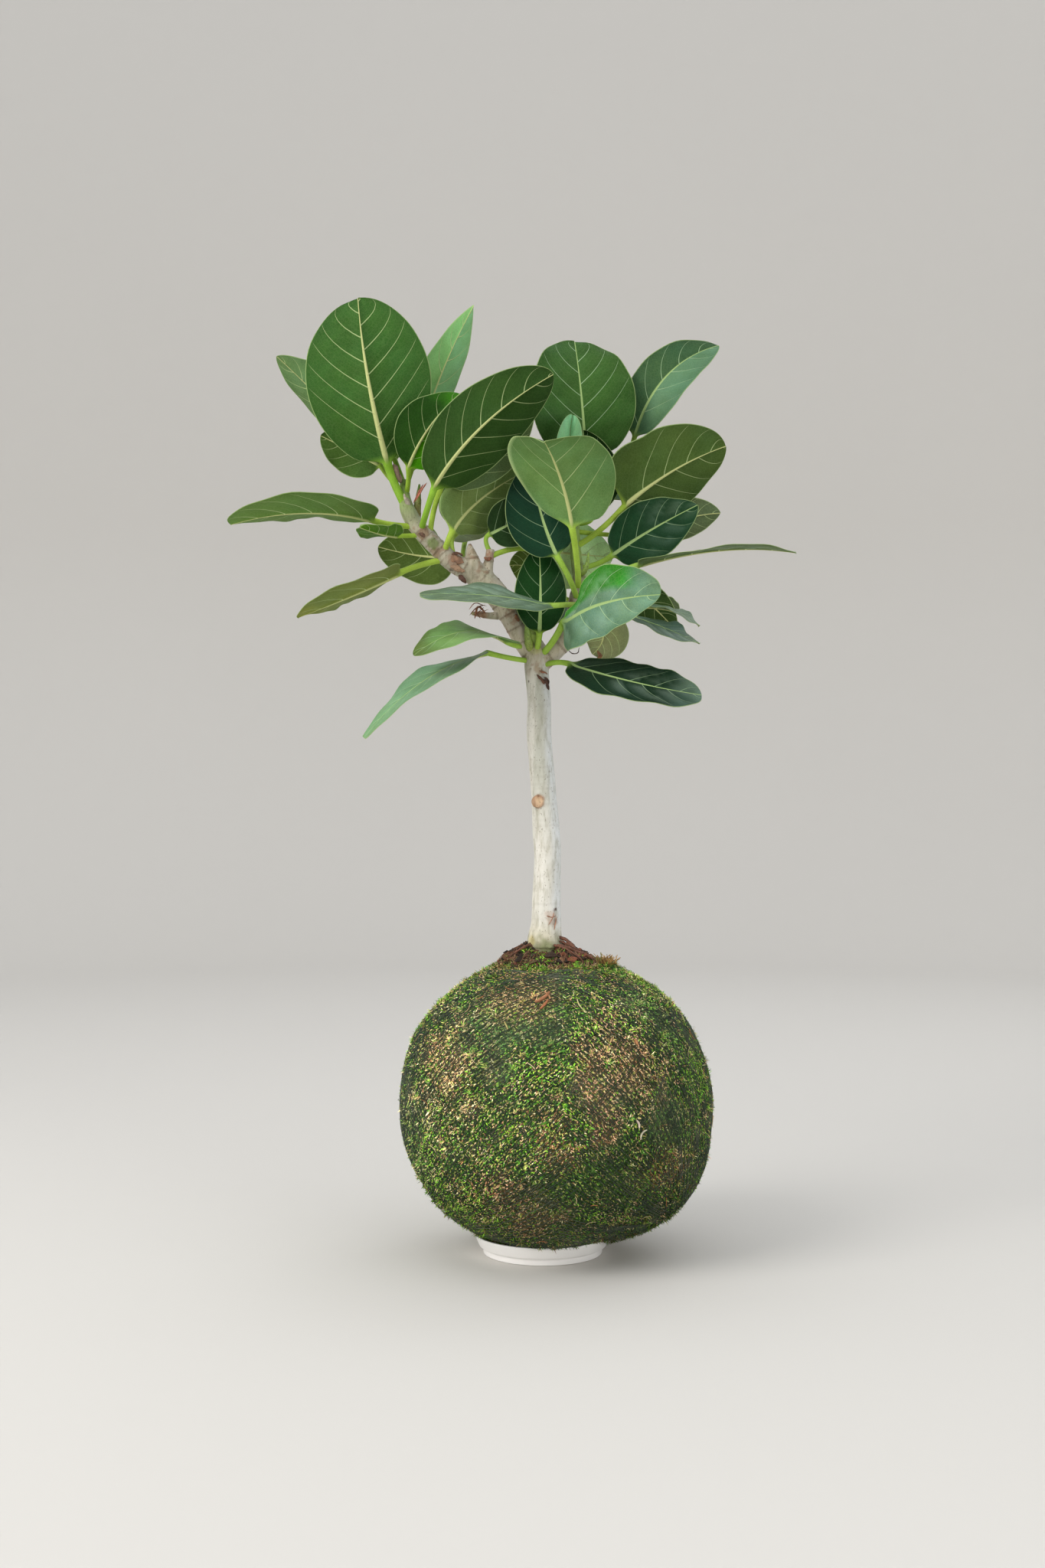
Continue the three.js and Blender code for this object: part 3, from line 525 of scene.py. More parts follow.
def leafGrid(leaf, order):
    # the leaf's closed skin: rings of points round a stalk that flattens into a blade. A blade
    # point is rib(t) + right x cos(fold) + along x lean + up (|x| sin(fold) + ripple - thickness),
    # with x from -half(t) to half(t), half(t) = wide/2 (sin(pi t^skew))^blunt; a rounded ridge
    # runs under the rib, and between the side veins the skin swells a little
    form = leafForm
    middle = ribDirection(leaf["rib"], np.array([0.5]))[0]
    facing = turnAbout(squareTo(toCamera, middle), middle, leaf["roll"])
    base = lagrange(leaf["rib"], np.zeros(1))[0]
    start = ribDirection(leaf["rib"], np.zeros(1))[0]
    root = np.array(leaf["root"], float)
    bend = np.array(leaf.get("bend", base - form["ease"] * np.linalg.norm(base - root) * start), float)

    s = np.linspace(0, 0.97, form["stalkRings"])[:, None]
    stalkPath = bowed(root, bend, base, s)
    stalkAlong = unit((bend - root) * (1 - s) + (base - bend) * s)
    turn = np.linspace(0, np.pi, form["bladeRings"])
    t = 0.5 - 0.5 * np.cos(turn * 0.86 + 0.14 * turn ** 2 / np.pi)
    centre = np.concatenate([stalkPath, lagrange(leaf["rib"], t)])
    along = np.concatenate([stalkAlong, ribDirection(leaf["rib"], t)])
    t = np.concatenate([np.zeros(form["stalkRings"]), t])
    up = squareTo(facing, along)
    right = np.cross(along, up)
    length = np.linalg.norm(np.diff(centre[form["stalkRings"]:], axis=0), axis=1).sum()

    skew = np.log(0.5) / np.log(leaf["widest"])
    swell = np.maximum(np.sin(np.pi * t ** skew), 0) ** leaf["blunt"]
    half = np.maximum(leaf["wide"] / 2 * swell, form["tipHalf"])
    narrow = [  # each side may be narrower towards the tip or towards the stalk
        (1 - tipIn * smooth(0.4, 1, t)) * (1 - baseIn * smooth(0.45, 0.05, t))
        for tipIn, baseIn in zip(leaf["tipIn"], leaf["baseIn"])]
    rib = np.minimum(np.maximum(0.68 * leaf["stalk"] * (1 - t) ** 0.9, 0.4), 0.4 * half)
    inner = np.array([0, 0.45, 0.85, 1.15])
    outer = np.sin(np.linspace(0, np.pi / 2, form["sideColumns"] + 1)[1:])
    x = np.concatenate([rib[:, None] * inner, rib[:, None] * 1.15 + (half - rib * 1.15)[:, None] * outer], 1)
    v = x / half[:, None]
    v = np.concatenate([-v[:, :0:-1], v], 1)  # rings x columns, left margin to right margin
    x = v * half[:, None] * np.where(v > 0, narrow[1][:, None], narrow[0][:, None])
    a = np.abs(v)
    side = (v > 0).astype(float)
    folded = np.radians(np.where(v > 0, leaf["fold"][1], leaf["fold"][0]))
    ripple = form["wave"] * v ** 2 * np.sin(
        tau * form["waves"] * t[:, None] + form["shift"] * order + side * form["sideShift"])
    fine = leaf["ruffle"] * a ** 3 * np.sin(
        tau * form["ruffles"] * t[:, None] + 2.1 * order + side * 1.3) * np.minimum(half / 15, 1)[:, None]
    climb = t[:, None] - form["slope"] * np.abs(x) / length - form["sweep"] * a ** 2
    pairs = np.clip(length / form["veinGap"], *form["pairs"])
    vein = climb * pairs + side * 0.5
    quilt = -form["quilt"] * np.cos(tau * (vein - 0.5)) * (1 - a) * smooth(0.02, 0.2, a)
    quilt = quilt * np.minimum(half / 20, 1)[:, None]
    height = np.abs(x) * np.sin(folded) + ripple + fine + quilt
    groove = 0.35 * np.exp(-(x / (0.8 * rib[:, None])) ** 2) * np.minimum(rib / 0.6, 1)[:, None]
    ridge = rib[:, None] * 1.25 * np.sqrt(np.maximum(1 - (x / (1.15 * rib[:, None])) ** 2, 0))
    thick = form["thickness"] * (1 - 0.45 * a ** 4)

    def skin(rise):
        return (centre[:, None] + right[:, None] * (x * np.cos(folded))[..., None]
                + along[:, None] * (x * leaf["lean"])[..., None] + up[:, None] * rise[..., None])

    upper = skin(height - groove)
    lower = skin(height - thick - ridge)
    ring = np.concatenate([upper, lower[:, ::-1]], 1)
    columns = x.shape[1]
    angle = np.pi - np.pi * (np.arange(2 * columns) + 0.5) / columns
    taper = leaf["stalk"] * (0.86 + 0.14 * np.concatenate([(1 - 2 * s[:, 0]) ** 4, np.ones(len(t) - len(s))]))
    stalk = centre[:, None] + taper[:, None, None] * rings(right, up, angle)
    flat = smooth(0, form["blend"], t)[:, None, None]
    grid = stalk * (1 - flat) + ring * flat

    # what the material reads: place across and along, half width; length, which side, rib width;
    # how much stalk, how many side veins, how much the fine veins show, less on dark leaves
    stalkAmount = 1 - smooth(0.0, 0.06, t)
    show = smooth(0.0, 0.22, linear(leaf["face"])[1])
    across = np.concatenate([v, v[:, ::-1]], 1)
    under = np.concatenate([np.zeros_like(v), np.ones_like(v)], 1)
    full = np.ones_like(across)
    blade = np.stack([across, t[:, None] * full, half[:, None] * full], -1)
    facts = np.stack([length * full, under, rib[:, None] * full], -1)
    growth = np.stack([stalkAmount[:, None] * full, pairs * full, show * full], -1)
    return grid, blade, facts, growth


def leafTint(leaf, order, grid, blade, facts, growth):
    # colour of each point: the kind's two sides, each leaf's own marks, a painted light and shade
    # step between side veins, a painted sheen, a soft drift over the blade, a darker margin, and the
    # stalk's own green
    look = leafLooks[leaf["look"]]
    upper, under, petiole = (linear(look[key]) for key in ("upper", "under", "petiole"))
    side = facts[..., 1:2]
    v, t, half = (blade[..., k:k + 1] for k in range(3))
    fromBelow = leaf["side"] != "upper"  # the side that the camera sees takes the leaf's own colour
    seen = (side > 0.5) == fromBelow
    colour = np.where(seen, linear(leaf["face"]), upper * (1 - side) + under * side)
    if "otherHalf" in leaf:
        colour = mixed(colour, leaf["otherHalf"], smooth(-0.02, 0.02, -v if fromBelow else v))
    if "tipTint" in leaf:
        end = smooth(0.72, 1.0, t + 0.08 * noise(grid, 12, order)[..., None])
        colour = mixed(colour, leaf["tipTint"], end)
    if "strip" in leaf:  # side (-1 or 1), where it starts, its colour, how far along it reaches
        way, start, tone, reach = leaf["strip"]
        ragged = 0.05 * noise(grid, 15, order)[..., None]
        edge = smooth(start, start + 0.06, v * way + ragged)
        edge = edge * smooth(reach + 0.12, reach - 0.12, t + ragged)
        colour = mixed(colour, tone, edge)
    climb = t - leafForm["slope"] * np.abs(v) * half / facts[..., :1] - leafForm["sweep"] * v ** 2
    between = (climb * growth[..., 1:2] + 0.5 * (v > 0) + 0.5) % 1  # 0 at one side vein to 1 at the next
    inside = smooth(0.02, 0.2, np.abs(v)) * smooth(1, 0.6, np.abs(v))
    # painted light and shade: across each strip between two side veins the colour steps from darker to
    # lighter, as if its swelling were lit on one side
    colour = colour * (1 + leaf["relief"] * (between - 0.5) * inside)
    # painted sheen: a pale wash between the side veins, in soft clouds
    cloudy = smooth(-0.5, 0.5, noise(grid, 26, order + 4.4))[..., None]
    colour = mixed(colour, sheenColour, leaf["frost"] * smooth(0.1, 0.9, between) * inside * cloudy)
    drift = noise(grid, 34, order * 3.7)[..., None]
    warm = noise(grid, 21, order * 1.9 + 9)[..., None]
    colour = colour * (1 + 0.14 * drift) * (1 + warm * np.array([0.08, 0.0, -0.06]))
    colour = colour * (1 - 0.12 * smooth(0.55, 1, np.abs(v)))
    petioleTint = petiole * (0.94 + 0.12 * noise(grid, 6, order)[..., None])
    amount = growth[..., :1]
    return colour * (1 - amount) + petioleTint * amount


# tones laid over a leaf's own colour; side veins and rib have one for the upper side, one for the
# underside
leafTones = dict(cloud=(222, 226, 200), grain=(214, 218, 206), fineVein=(160, 190, 120),
                 sideVein=((172, 202, 156), (190, 208, 146)), rib=((164, 190, 124), (196, 200, 136)),
                 margin=(172, 194, 130))


def veinGroup():
    # masks of the vein pattern at a place v across (-1 to 1) and t along (0 to 1) a blade. A side
    # vein is where (t length - slope |x| - sweep length v^2) / spacing is a whole number and a half
    group, take, give = newGroup(
        "Leaf veins", ("across", "along", "half", "length", "rib", "pairs"),
        ("rib", "side vein", "fine vein", "margin"))
    across, along, half, length, rib, pairs = (take[i] for i in range(6))
    a = calc(group, "ABSOLUTE", across)
    x = times(group, across, half)
    ax = calc(group, "ABSOLUTE", x)
    y = times(group, along, length)
    group.links.new(ramp(group, calc(group, "DIVIDE", ax, rib), 0.75, 1.1, 1, 0), give[0])
    climb = calc(group, "MULTIPLY_ADD", ax, -leafForm["slope"], y)
    bow = times(group, times(group, a, a), length)
    share = calc(group, "DIVIDE", calc(group, "MULTIPLY_ADD", bow, -leafForm["sweep"], climb), length)
    offset = times(group, calc(group, "GREATER_THAN", across, 0.0), 0.5)

    girth = ramp(group, length, 50.0, 180.0, 0.6, 1.0)

    def veins(count, width, narrow):
        n = calc(group, "FRACT", calc(group, "ADD", calc(group, "MULTIPLY_ADD", share, count, offset), 8.0))
        d = calc(group, "ABSOLUTE", calc(group, "SUBTRACT", n, 0.5))
        d = calc(group, "DIVIDE", times(group, d, length), count)
        w = times(group, calc(group, "MULTIPLY_ADD", a, -narrow, width), girth)
        return ramp(group, calc(group, "DIVIDE", d, w), 0.4, 1.1, 1, 0)

    inside = times(group, ramp(group, a, 0.86, 0.99, 1, 0), ramp(group, share, 0.015, 0.04, 0, 1))
    group.links.new(times(group, veins(pairs, 0.85, 0.5), inside), give[1])
    more = veins(times(group, pairs, 4.0), 0.45, 0.25)
    spot = group.nodes.new("ShaderNodeCombineXYZ")
    group.links.new(x, spot.inputs[0])
    group.links.new(y, spot.inputs[1])
    group.links.new(length, spot.inputs[2])
    net = group.nodes.new("ShaderNodeTexVoronoi")
    net.feature = "DISTANCE_TO_EDGE"
    net.inputs["Scale"].default_value = 0.4
    group.links.new(spot.outputs[0], net.inputs["Vector"])
    mesh = ramp(group, net.outputs["Distance"], 0.02, 0.1, 1, 0)
    fine = calc(group, "MAXIMUM", times(group, more, 0.7), times(group, mesh, 0.6))
    group.links.new(times(group, fine, ramp(group, a, 0.93, 1.0, 1, 0)), give[2])
    edge = calc(group, "SUBTRACT", half, ax)
    group.links.new(ramp(group, edge, 0.3, 0.85, 1, 0), give[3])
    return group


def leafMaterial(group):
    material, tree, shader, where = newMaterial("Leaf", Specular_IOR_Level=0.07)
    spot = splitVector(tree, carried(tree, "blade"))
    facts = splitVector(tree, carried(tree, "facts"))
    growth = splitVector(tree, carried(tree, "growth"))
    stalk, under = growth[0], facts[1]
    veins = place(tree, group, across=spot[0], along=spot[1], half=spot[2], length=facts[0],
                  rib=facts[2], pairs=growth[1])
    blade = calc(tree, "SUBTRACT", 1.0, stalk)
    tint = carried(tree, "leafTint", "Color")
    grain = speckle(tree, where, 900, 4, 0.6)
    cloud = speckle(tree, where, 55, 3, 0.5)
    body = blendColour(tree, ramp(tree, cloud, 0.35, 0.7, 0.0, 0.5), tint, leafTones["cloud"], "MULTIPLY")
    body = blendColour(tree, ramp(tree, grain, 0.4, 0.7, 0.0, 0.5), body, leafTones["grain"], "MULTIPLY")

    def over(mask, amount, colour):
        # veins of one kind laid over the blade, none of them on the stalk
        share = times(tree, times(tree, mask, blade), amount)
        return blendColour(tree, share, body, colour)

    body = over(veins[2], times(tree, growth[2], 0.16), leafTones["fineVein"])
    body = over(veins[1], calc(tree, "MULTIPLY_ADD", growth[2], 0.42, 0.42),
                blendColour(tree, under, *leafTones["sideVein"]))
    body = over(veins[0], 0.9, blendColour(tree, under, *leafTones["rib"]))
    body = over(veins[3], 0.6, leafTones["margin"])
    tree.links.new(body, shader.inputs["Base Color"])
    rough = calc(tree, "MULTIPLY_ADD", under, 0.2, 0.32)
    rough = calc(tree, "ADD", rough, times(tree, cloud, 0.14))
    tree.links.new(rough, shader.inputs["Roughness"])
    # veins sink on the upper side and stand out on the lower one
    sign = calc(tree, "MULTIPLY_ADD", under, 1.6, -0.8)
    raised = times(tree, calc(tree, "ADD", veins[1], times(tree, veins[2], 0.3)), sign)
    height = calc(tree, "ADD", times(tree, raised, blade), times(tree, grain, 0.12))
    tree.links.new(bump(tree, height, 0.0005, 0.8), shader.inputs["Normal"])
    return material


def growLeaves():
    material = leafMaterial(veinGroup())
    for order, leaf in enumerate(leaves):
        grid, blade, facts, growth = leafGrid(leaf, order)
        points, faces = closedGrid(grid)
        values = dict(
            blade=endValues(blade), facts=endValues(facts), growth=endValues(growth),
            leafTint=endValues(leafTint(leaf, order, grid, blade, facts, growth)))
        makePiece("blade_" + leaf["name"], points, faces, material,
                  ["leaf_" + leaf["name"]], values)
    print("leaves:", len(leaves))


limbs = dict(
    trunk=[(2, 0, 256.2, 16.2), (2, 0, 263, 14.6), (3, 0, 274, 12.9), (3, 0, 292, 11.9), (4, 0, 331, 11.3),
           (3, 0, 351, 11.6), (1, 0, 383, 10.6), (-1, 0, 409, 10.3), (-3, 0, 434, 10.5), (-3, 0, 461, 10),
           (-5, 0, 486, 10.2), (-6, 0, 503, 10.8), (-8, 0, 513, 7)],
    leftBranch=[(-5, 0, 494, 8), (-15, 0, 512, 9.2), (-24, -2, 529, 9.4), (-35, -3, 547, 10),
                (-49, -4, 563, 10.4), (-65, -5, 573, 9), (-77, -5, 580, 8), (-88, -5, 591, 7.6),
                (-98, -5, 601, 7.4), (-107, -5, 611, 7), (-114, -5, 624, 6.4), (-116, 2, 636, 4.2),
                (-118, 7, 650, 2.8)],
    rightBranch=[(-2, 0, 494, 8), (12, 0, 506, 7.6), (21, 1, 517, 7), (26, 2, 532, 6.8), (29, 3, 548, 7.2),
                 (31, 6, 564, 6), (28, 8, 590, 4.6), (28, 13, 617, 4), (32, 19, 641, 3.4),
                 (36, 24, 662, 2.6)],
    hornStub=[(-53, -5, 560, 9.2), (-58.3, -6, 577, 7.3), (-60.4, -6.5, 587, 4.6), (-61.3, -6.5, 594, 1.6)],
    twig=[(-44, -4, 558, 5), (-46, -4, 570, 4.4), (-44, -4, 590, 3.6)],
    sideTwig=[(-28, -4, 536, 4.5), (-42, -6, 534, 3), (-60, -8, 536, 1.6)],
    leafScar=[(-4, -6, 378, 5.2), (-4, -11.6, 378, 4.6)],
)

bark = dict(
    voxel=1.1, smoothing=2,
    lumps=0.35,  # slow swellings of the trunk, in mm
    ringGap=9.5, ringRise=0.32,  # leaf-scar rings along the branches
    cream=(228, 225, 217), streakAndShade=(168, 172, 157), coolSideLight=(226, 232, 238), foot=(212, 202, 162),
    grey=(172, 162, 138), pale=(184, 170, 144), green=(136, 144, 88), rust=(138, 96, 68),
    ring=(98, 76, 52), dirt=(112, 116, 72), young=(132, 158, 78),
    grain=(176, 172, 150), patch=(226, 224, 214), dots=(130, 112, 84),
    # heights between which the streaks and their painted shade, the foot's tint, the aged bark and the dirt
    # come in
    streakAndShadeRise=(330, 430), footFall=(285, 258), agedRise=(470, 505), dirtFall=(270, 257),
    stock=[(0.5, 0, 236.0), (0.5, 0, 248), (2, 0, 261.0)],  # the root stock under the trunk
    stockRadius=[15.6, 15.4, 13.8],
)

# marks on the bark: middle, radius in mm, colour, strength, how far the bark rises there
barkMarks = [
    ((-3.5, -11, 378), 7.0, (190, 138, 100), 0.75, 0.8),  # healed leaf scar
    ((-3.5, -12, 378), 3.8, (226, 196, 160), 0.8, -0.8),
    ((-4, -11, 383), 1.6, (120, 84, 50), 0.8, 0.3),
    ((7, -10, 281), 7.5, (186, 150, 128), 0.4, 0),  # pale stain above the foot, with a dark speck
    ((9.5, -9, 288), 2.1, (84, 54, 42), 0.95, 0.2),
    ((-12, -7, 479), 1.2, (60, 40, 28), 0.9, 0),  # dark specks up the trunk
    ((-14, -6, 455), 0.9, (70, 50, 34), 0.9, 0),
    ((-20, -8, 521), 1.2, (60, 44, 30), 0.9, 0),
    ((2, -10, 480), 4.4, (150, 116, 88), 0.4, 0.3),  # torn bark under the fork
    ((-4, -10, 488), 4.2, (150, 118, 80), 0.5, 0.3),
    ((-6, -9, 507), 7, (176, 180, 104), 0.5, 0.5),  # greenish knuckle of the fork
    ((-57, -12, 571), 2.0, (120, 90, 66), 0.7, -0.2),  # brown and green places of the left branch
    ((-54, -13, 566), 1.8, (110, 80, 58), 0.7, -0.2),
    ((-13, -9, 517), 3, (160, 124, 88), 0.6, 0.3),
    ((-24, -10, 533), 2.2, (120, 84, 56), 0.7, 0.3),
    ((-100, -11, 603), 6, (132, 96, 62), 0.7, 0.2),
    ((-92, -12, 594), 5.5, (112, 132, 62), 0.75, 0.4),
    ((-74, -13, 579), 8.5, (140, 104, 80), 0.65, 0.5),  # peeling bark
    ((-71, -13, 586), 2.6, (86, 54, 36), 0.8, 0.5),
    ((-58, -10, 588), 4, (150, 120, 92), 0.5, 0),  # broken ends of the stubs
    ((-61, -6, 594), 2.5, (110, 84, 60), 0.7, 0),
    ((-44, -8, 584), 5, (140, 88, 60), 0.6, 0),
    ((-52, -10, 534), 8, (150, 92, 58), 0.6, 0),
    ((-60, -8, 536), 3, (160, 160, 84), 0.7, 0),
    ((-78, -11, 571), 3.2, (70, 52, 36), 0.8, 0.2),
    ((4, -15, 256), 8, (138, 148, 96), 0.6, 0),  # mossy tint at the foot
    ((-10, -10, 262), 6, (214, 196, 130), 0.5, 0),
]


def barkSkin():
    # all limbs as tubes, fused by a voxel remesh and smoothed where they join
    skins = [tube(*catmullRom(chain, 4 * len(chain)), 20) for chain in limbs.values()]
    skins.append(tube(np.array(bark["stock"]), bark["stockRadius"], 28))
    points, faces, _ = gather([(*closedGrid(skin), None) for skin in skins])
    mesh = bpy.data.meshes.new("limbs")
    mesh.from_pydata((points * mm).tolist(), [], [list(f) for table in faces for f in table.tolist()])
    rough = addObject("limbs", mesh)
    fuse = rough.modifiers.new("fuse", "REMESH")
    fuse.mode = "VOXEL"
    fuse.voxel_size = bark["voxel"] * mm
    ease = rough.modifiers.new("ease", "SMOOTH")
    ease.factor = 0.5
    ease.iterations = bark["smoothing"]
    done = bpy.data.meshes.new_from_object(rough.evaluated_get(bpy.context.evaluated_depsgraph_get()))
    bpy.data.objects.remove(rough)
    points = readBack(done.vertices, "co", 3).reshape(-1, 3) / mm
    normals = readBack(done.vertices, "normal", 3).reshape(-1, 3)
    return points, normals, readBack(done.loops, "vertex_index", 1).astype(int).reshape(-1, 4)


def readBack(things, key, each):
    # what a mesh holds for its points (places, directions) or its corners (point numbers)
    values = np.empty(len(things) * each, np.float32 if each > 1 else np.int32)
    things.foreach_get(key, values)
    return values.astype(float if each > 1 else int)


def limbPlace(points):
    # for each point the nearest limb: its number, the distance along it, and the direction out
    # from its middle
    tables = []
    for number, chain in enumerate(limbs.values()):
        path, radius = catmullRom(chain, 12 * len(chain))
        run = np.concatenate([[0], np.cumsum(np.linalg.norm(np.diff(path, axis=0), axis=1))])
        tables.append(np.column_stack([path, radius, run, np.full(len(path), number)]))
    table = np.concatenate(tables)
    nearest = np.concatenate([
        np.argmin(((block[:, None] - table[None, :, :3]) ** 2).sum(-1) ** 0.5 - table[None, :, 3], axis=1)
        for block in np.array_split(points, max(len(points) // 4000, 1))])
    hit = table[nearest]
    return hit[:, 5].astype(int), hit[:, 4], unit(points - hit[:, :3])


def barkMaterial():
    material, tree, shader, where = newMaterial("Bark", Roughness=0.7)
    tint = carried(tree, "barkTint", "Color")
    grain = speckle(tree, where, 260, 6, 0.62, (1, 1, 0.22))
    fine = speckle(tree, where, 1500, 4, 0.6, (1, 1, 0.5))
    patch = speckle(tree, where, 45, 4, 0.6, (1, 1, 0.6))
    body = blendColour(tree, ramp(tree, grain, 0.42, 0.72, 0.0, 0.55), tint, bark["grain"], "MULTIPLY")
    body = blendColour(tree, ramp(tree, patch, 0.35, 0.65, 0.0, 0.4), body, bark["patch"], "MULTIPLY")
    dots = speckle(tree, where, 700, 2, 0.5, (1, 1, 0.6))
    body = blendColour(tree, ramp(tree, dots, 0.62, 0.72, 0.0, 0.6), body, bark["dots"], "MULTIPLY")
    tree.links.new(body, shader.inputs["Base Color"])
    tree.links.new(calc(tree, "MULTIPLY_ADD", grain, 0.25, 0.55), shader.inputs["Roughness"])
    height = calc(tree, "ADD", grain, times(tree, fine, 0.4))
    tree.links.new(bump(tree, height, 0.0008, 0.7), shader.inputs["Normal"])
    return material


def growWood(material):
    # bark skin moved along its normals by rings, lumps and marks, and painted from the same places
    points, normals, quads = barkSkin()
    limbNumber, run, out = limbPlace(points)
    trunk, onLeft, onRight = (limbNumber == k for k in range(3))
    branch = onLeft | onRight
    turn = np.arctan2(out[:, 1], out[:, 0])
    gapNow = bark["ringGap"] * (1 + 0.25 * np.sin(run / 31.0))
    wobble = 0.8 * np.sin(turn + limbNumber) + 0.5 * noise(points, 9, 3.1)
    phase = (run + wobble) / gapNow
    ring = np.exp(-((phase - np.round(phase)) * gapNow / 0.8) ** 2)
    lumps = bark["lumps"] * (noise(points * (1, 1, 0.5), 11, 1.7) + 0.5 * noise(points * (1, 1, 0.4), 5, 8.2))
    rise = lumps + np.where(branch, bark["ringRise"] * ring, 0.1 * ring * smooth(200, 240, run) * trunk)
    rise = rise + np.where(limbNumber >= 3, 0.3 * ring, 0) * (limbNumber < 6)
    colour = np.tile(linear(bark["cream"]), (len(points), 1))
    # grey-green streaks, strongest on the front of the trunk and high up: partly the bark's own streaks,
    # partly painted shade down the middle of the trunk between its lit sides
    across = noise(points * (1, 1, 0.12), 7, 4.4)
    streakAndShade = smooth(-0.2, 0.7, across + 0.4 * np.cos(turn + np.pi / 2))[:, None]
    streakAndShade = streakAndShade * (0.12 + 0.45 * smooth(*bark["streakAndShadeRise"], points[:, 2:]))
    colour = mixed(colour, bark["streakAndShade"], streakAndShade)
    # painted light: a cool, pale tint on the right-hand side of every limb
    coolSideLight = smooth(0.1, 0.8, out[:, 0])[:, None] * 0.7
    colour = mixed(colour, bark["coolSideLight"], coolSideLight)
    low = smooth(*bark["footFall"], points[:, 2])[:, None] * 0.55
    colour = mixed(colour, bark["foot"], low)
    aged = np.where(trunk, smooth(*bark["agedRise"], points[:, 2]), 1.0)[:, None]
    upward = np.where(onLeft, smooth(62, 105, run), np.where(onRight, smooth(25, 90, run), 0.25))
    old = mixed(linear(bark["pale"]), bark["grey"], upward[:, None])
    old = old * (0.9 + 0.2 * noise(points, 8, 5.5)[:, None])
    mossy = (smooth(0.0, 0.55, noise(points, 13, 7.3)) * upward)[:, None] * 0.6
    old = mixed(old, bark["green"], mossy)
    colour = colour * (1 - 0.75 * aged) + old * 0.75 * aged
    rusty = smooth(0.25, 0.6, noise(points, 6, 2.9) + 0.5 * noise(points, 2.2, 1.1))
    colour = mixed(colour, bark["rust"], (rusty * aged[:, 0] * 0.55)[:, None])
    dark = (ring * np.where(branch | (limbNumber >= 3), 0.6, 0.08))[:, None]
    colour = mixed(colour, bark["ring"], dark)
    dirt = smooth(*bark["dirtFall"], points[:, 2] + 5 * noise(points, 5, 6.6))[:, None] * 0.75
    colour = mixed(colour, bark["dirt"], dirt)
    young = np.where(onRight, smooth(60, 110, run), np.where(onLeft, smooth(150, 185, run), 0))
    colour = mixed(colour, bark["young"], young[:, None])
    for middle, size, markColour, strength, lift in barkMarks:
        distance = np.linalg.norm(points - middle, axis=1) + 0.35 * size * noise(points, size * 0.6, size)
        amount = strength * smooth(size, size * 0.55, distance)
        colour = mixed(colour, markColour, amount[:, None])
        rise = rise + lift * smooth(size, size * 0.6, distance)
    makePiece("bark_skin", points + normals * rise[:, None], [quads], material, ["wood"],
              dict(barkTint=colour))
    growScraps(material)
    print("wood:", len(points))


rootlets = [
    [(14, -9, 262, 0.9), (24, -13, 257.5, 0.8), (30, -15, 254, 0.8), (36, -19, 249.6, 0.6)],
    [(9, -15, 258.6, 1.0), (18, -19, 256.4, 0.9), (28, -25, 251, 0.7), (34, -28, 246, 0.5)],
    [(24, -17, 257.2, 0.8), (33, -15, 253.4, 0.7), (43, -14, 247, 0.5)],
    [(-12, -12, 258.6, 1.1), (-20, -17, 254.8, 0.9), (-28, -20, 249.4, 0.6)],
    [(2, 16, 258.8, 1.2), (8, 25, 253.6, 1.0), (10, 34, 247.6, 0.7)],
    [(-13, 8, 258.6, 1.1), (-22, 12, 253.8, 0.9), (-30, 20, 247, 0.6)],
]
rootChains = [
    [(13, -5, 265, 1.6), (20, -9, 262.5, 1.6), (26, -14, 255.8, 1.5), (31, -18, 251, 1.4),
     (36, -21, 248, 1.1)],
    [(12, -16, 258.3, 1.4), (23, -18, 256, 1.4), (31, -18, 252.2, 1.4), (38, -17, 249.5, 1.4),
     (45, -15, 244, 1.2)],
]
rootBrown = (118, 74, 54)
budChains = dict(
    bud_left=[(-106, -2, 611, 3.2), (-106, 2, 622, 3.6), (-105, 4, 634, 2.6), (-104, 5, 646, 0.8)],
    bud_right=[(31, 2, 569, 2.4), (35, -3, 572, 2.4), (37.5, -5, 579, 1.7), (38.5, -6, 587, 0.7)],
    bud_fork=[(-10, -5, 504, 3.2), (-12, -11, 512, 3.6), (-13, -13, 521, 2.4), (-14, -14, 529, 0.8)],
)
budTints = dict(bud_left=((150, 116, 74), (122, 160, 70)), bud_right=((130, 150, 66), (150, 186, 84)),
                bud_fork=((140, 150, 70), (134, 172, 76)))


def tintMaterial(name, key, scale, height, rough=0.65, depth=0.55, shade=(120, 104, 84), **fixed):
    # colour from the piece's own attribute, broken up by noise and roughened
    material, tree, shader, where = newMaterial(name, **fixed)
    grain = speckle(tree, where, scale, 5, rough)
    body = blendColour(tree, ramp(tree, grain, 0.35, 0.7, 0.0, depth), carried(tree, key, "Color"),
                       shade, "MULTIPLY")
    tree.links.new(body, shader.inputs["Base Color"])
    tree.links.new(bump(tree, grain, height, 0.8), shader.inputs["Normal"])
    return material


def growRoots():
    # each root is a tube whose radius swells unevenly; thinner rootlets leave it
    rng = np.random.default_rng(5)
    material = tintMaterial("Root", "rootTint", 500, 0.0006, Roughness=0.65)
    parts = []
    for chain in rootChains + rootlets:
        path, radius = catmullRom(chain, 40)
        swell = 1 + 0.25 * noise(path, 2.5, 2)[:, None] + 0.1 * rng.standard_normal((len(path), 10))
        path = path + 0.5 * np.stack([noise(path, 5, k) for k in (1.3, 2.6, 3.9)], -1)
        points, faces = closedGrid(tube(path, radius, 10, swell))
        parts.append((points, faces, linear(rootBrown) * (1 + 0.45 * noise(points, 2.5, 6)[:, None])))
    makeGathered("root_runs", parts, material, ["roots"], "rootTint")


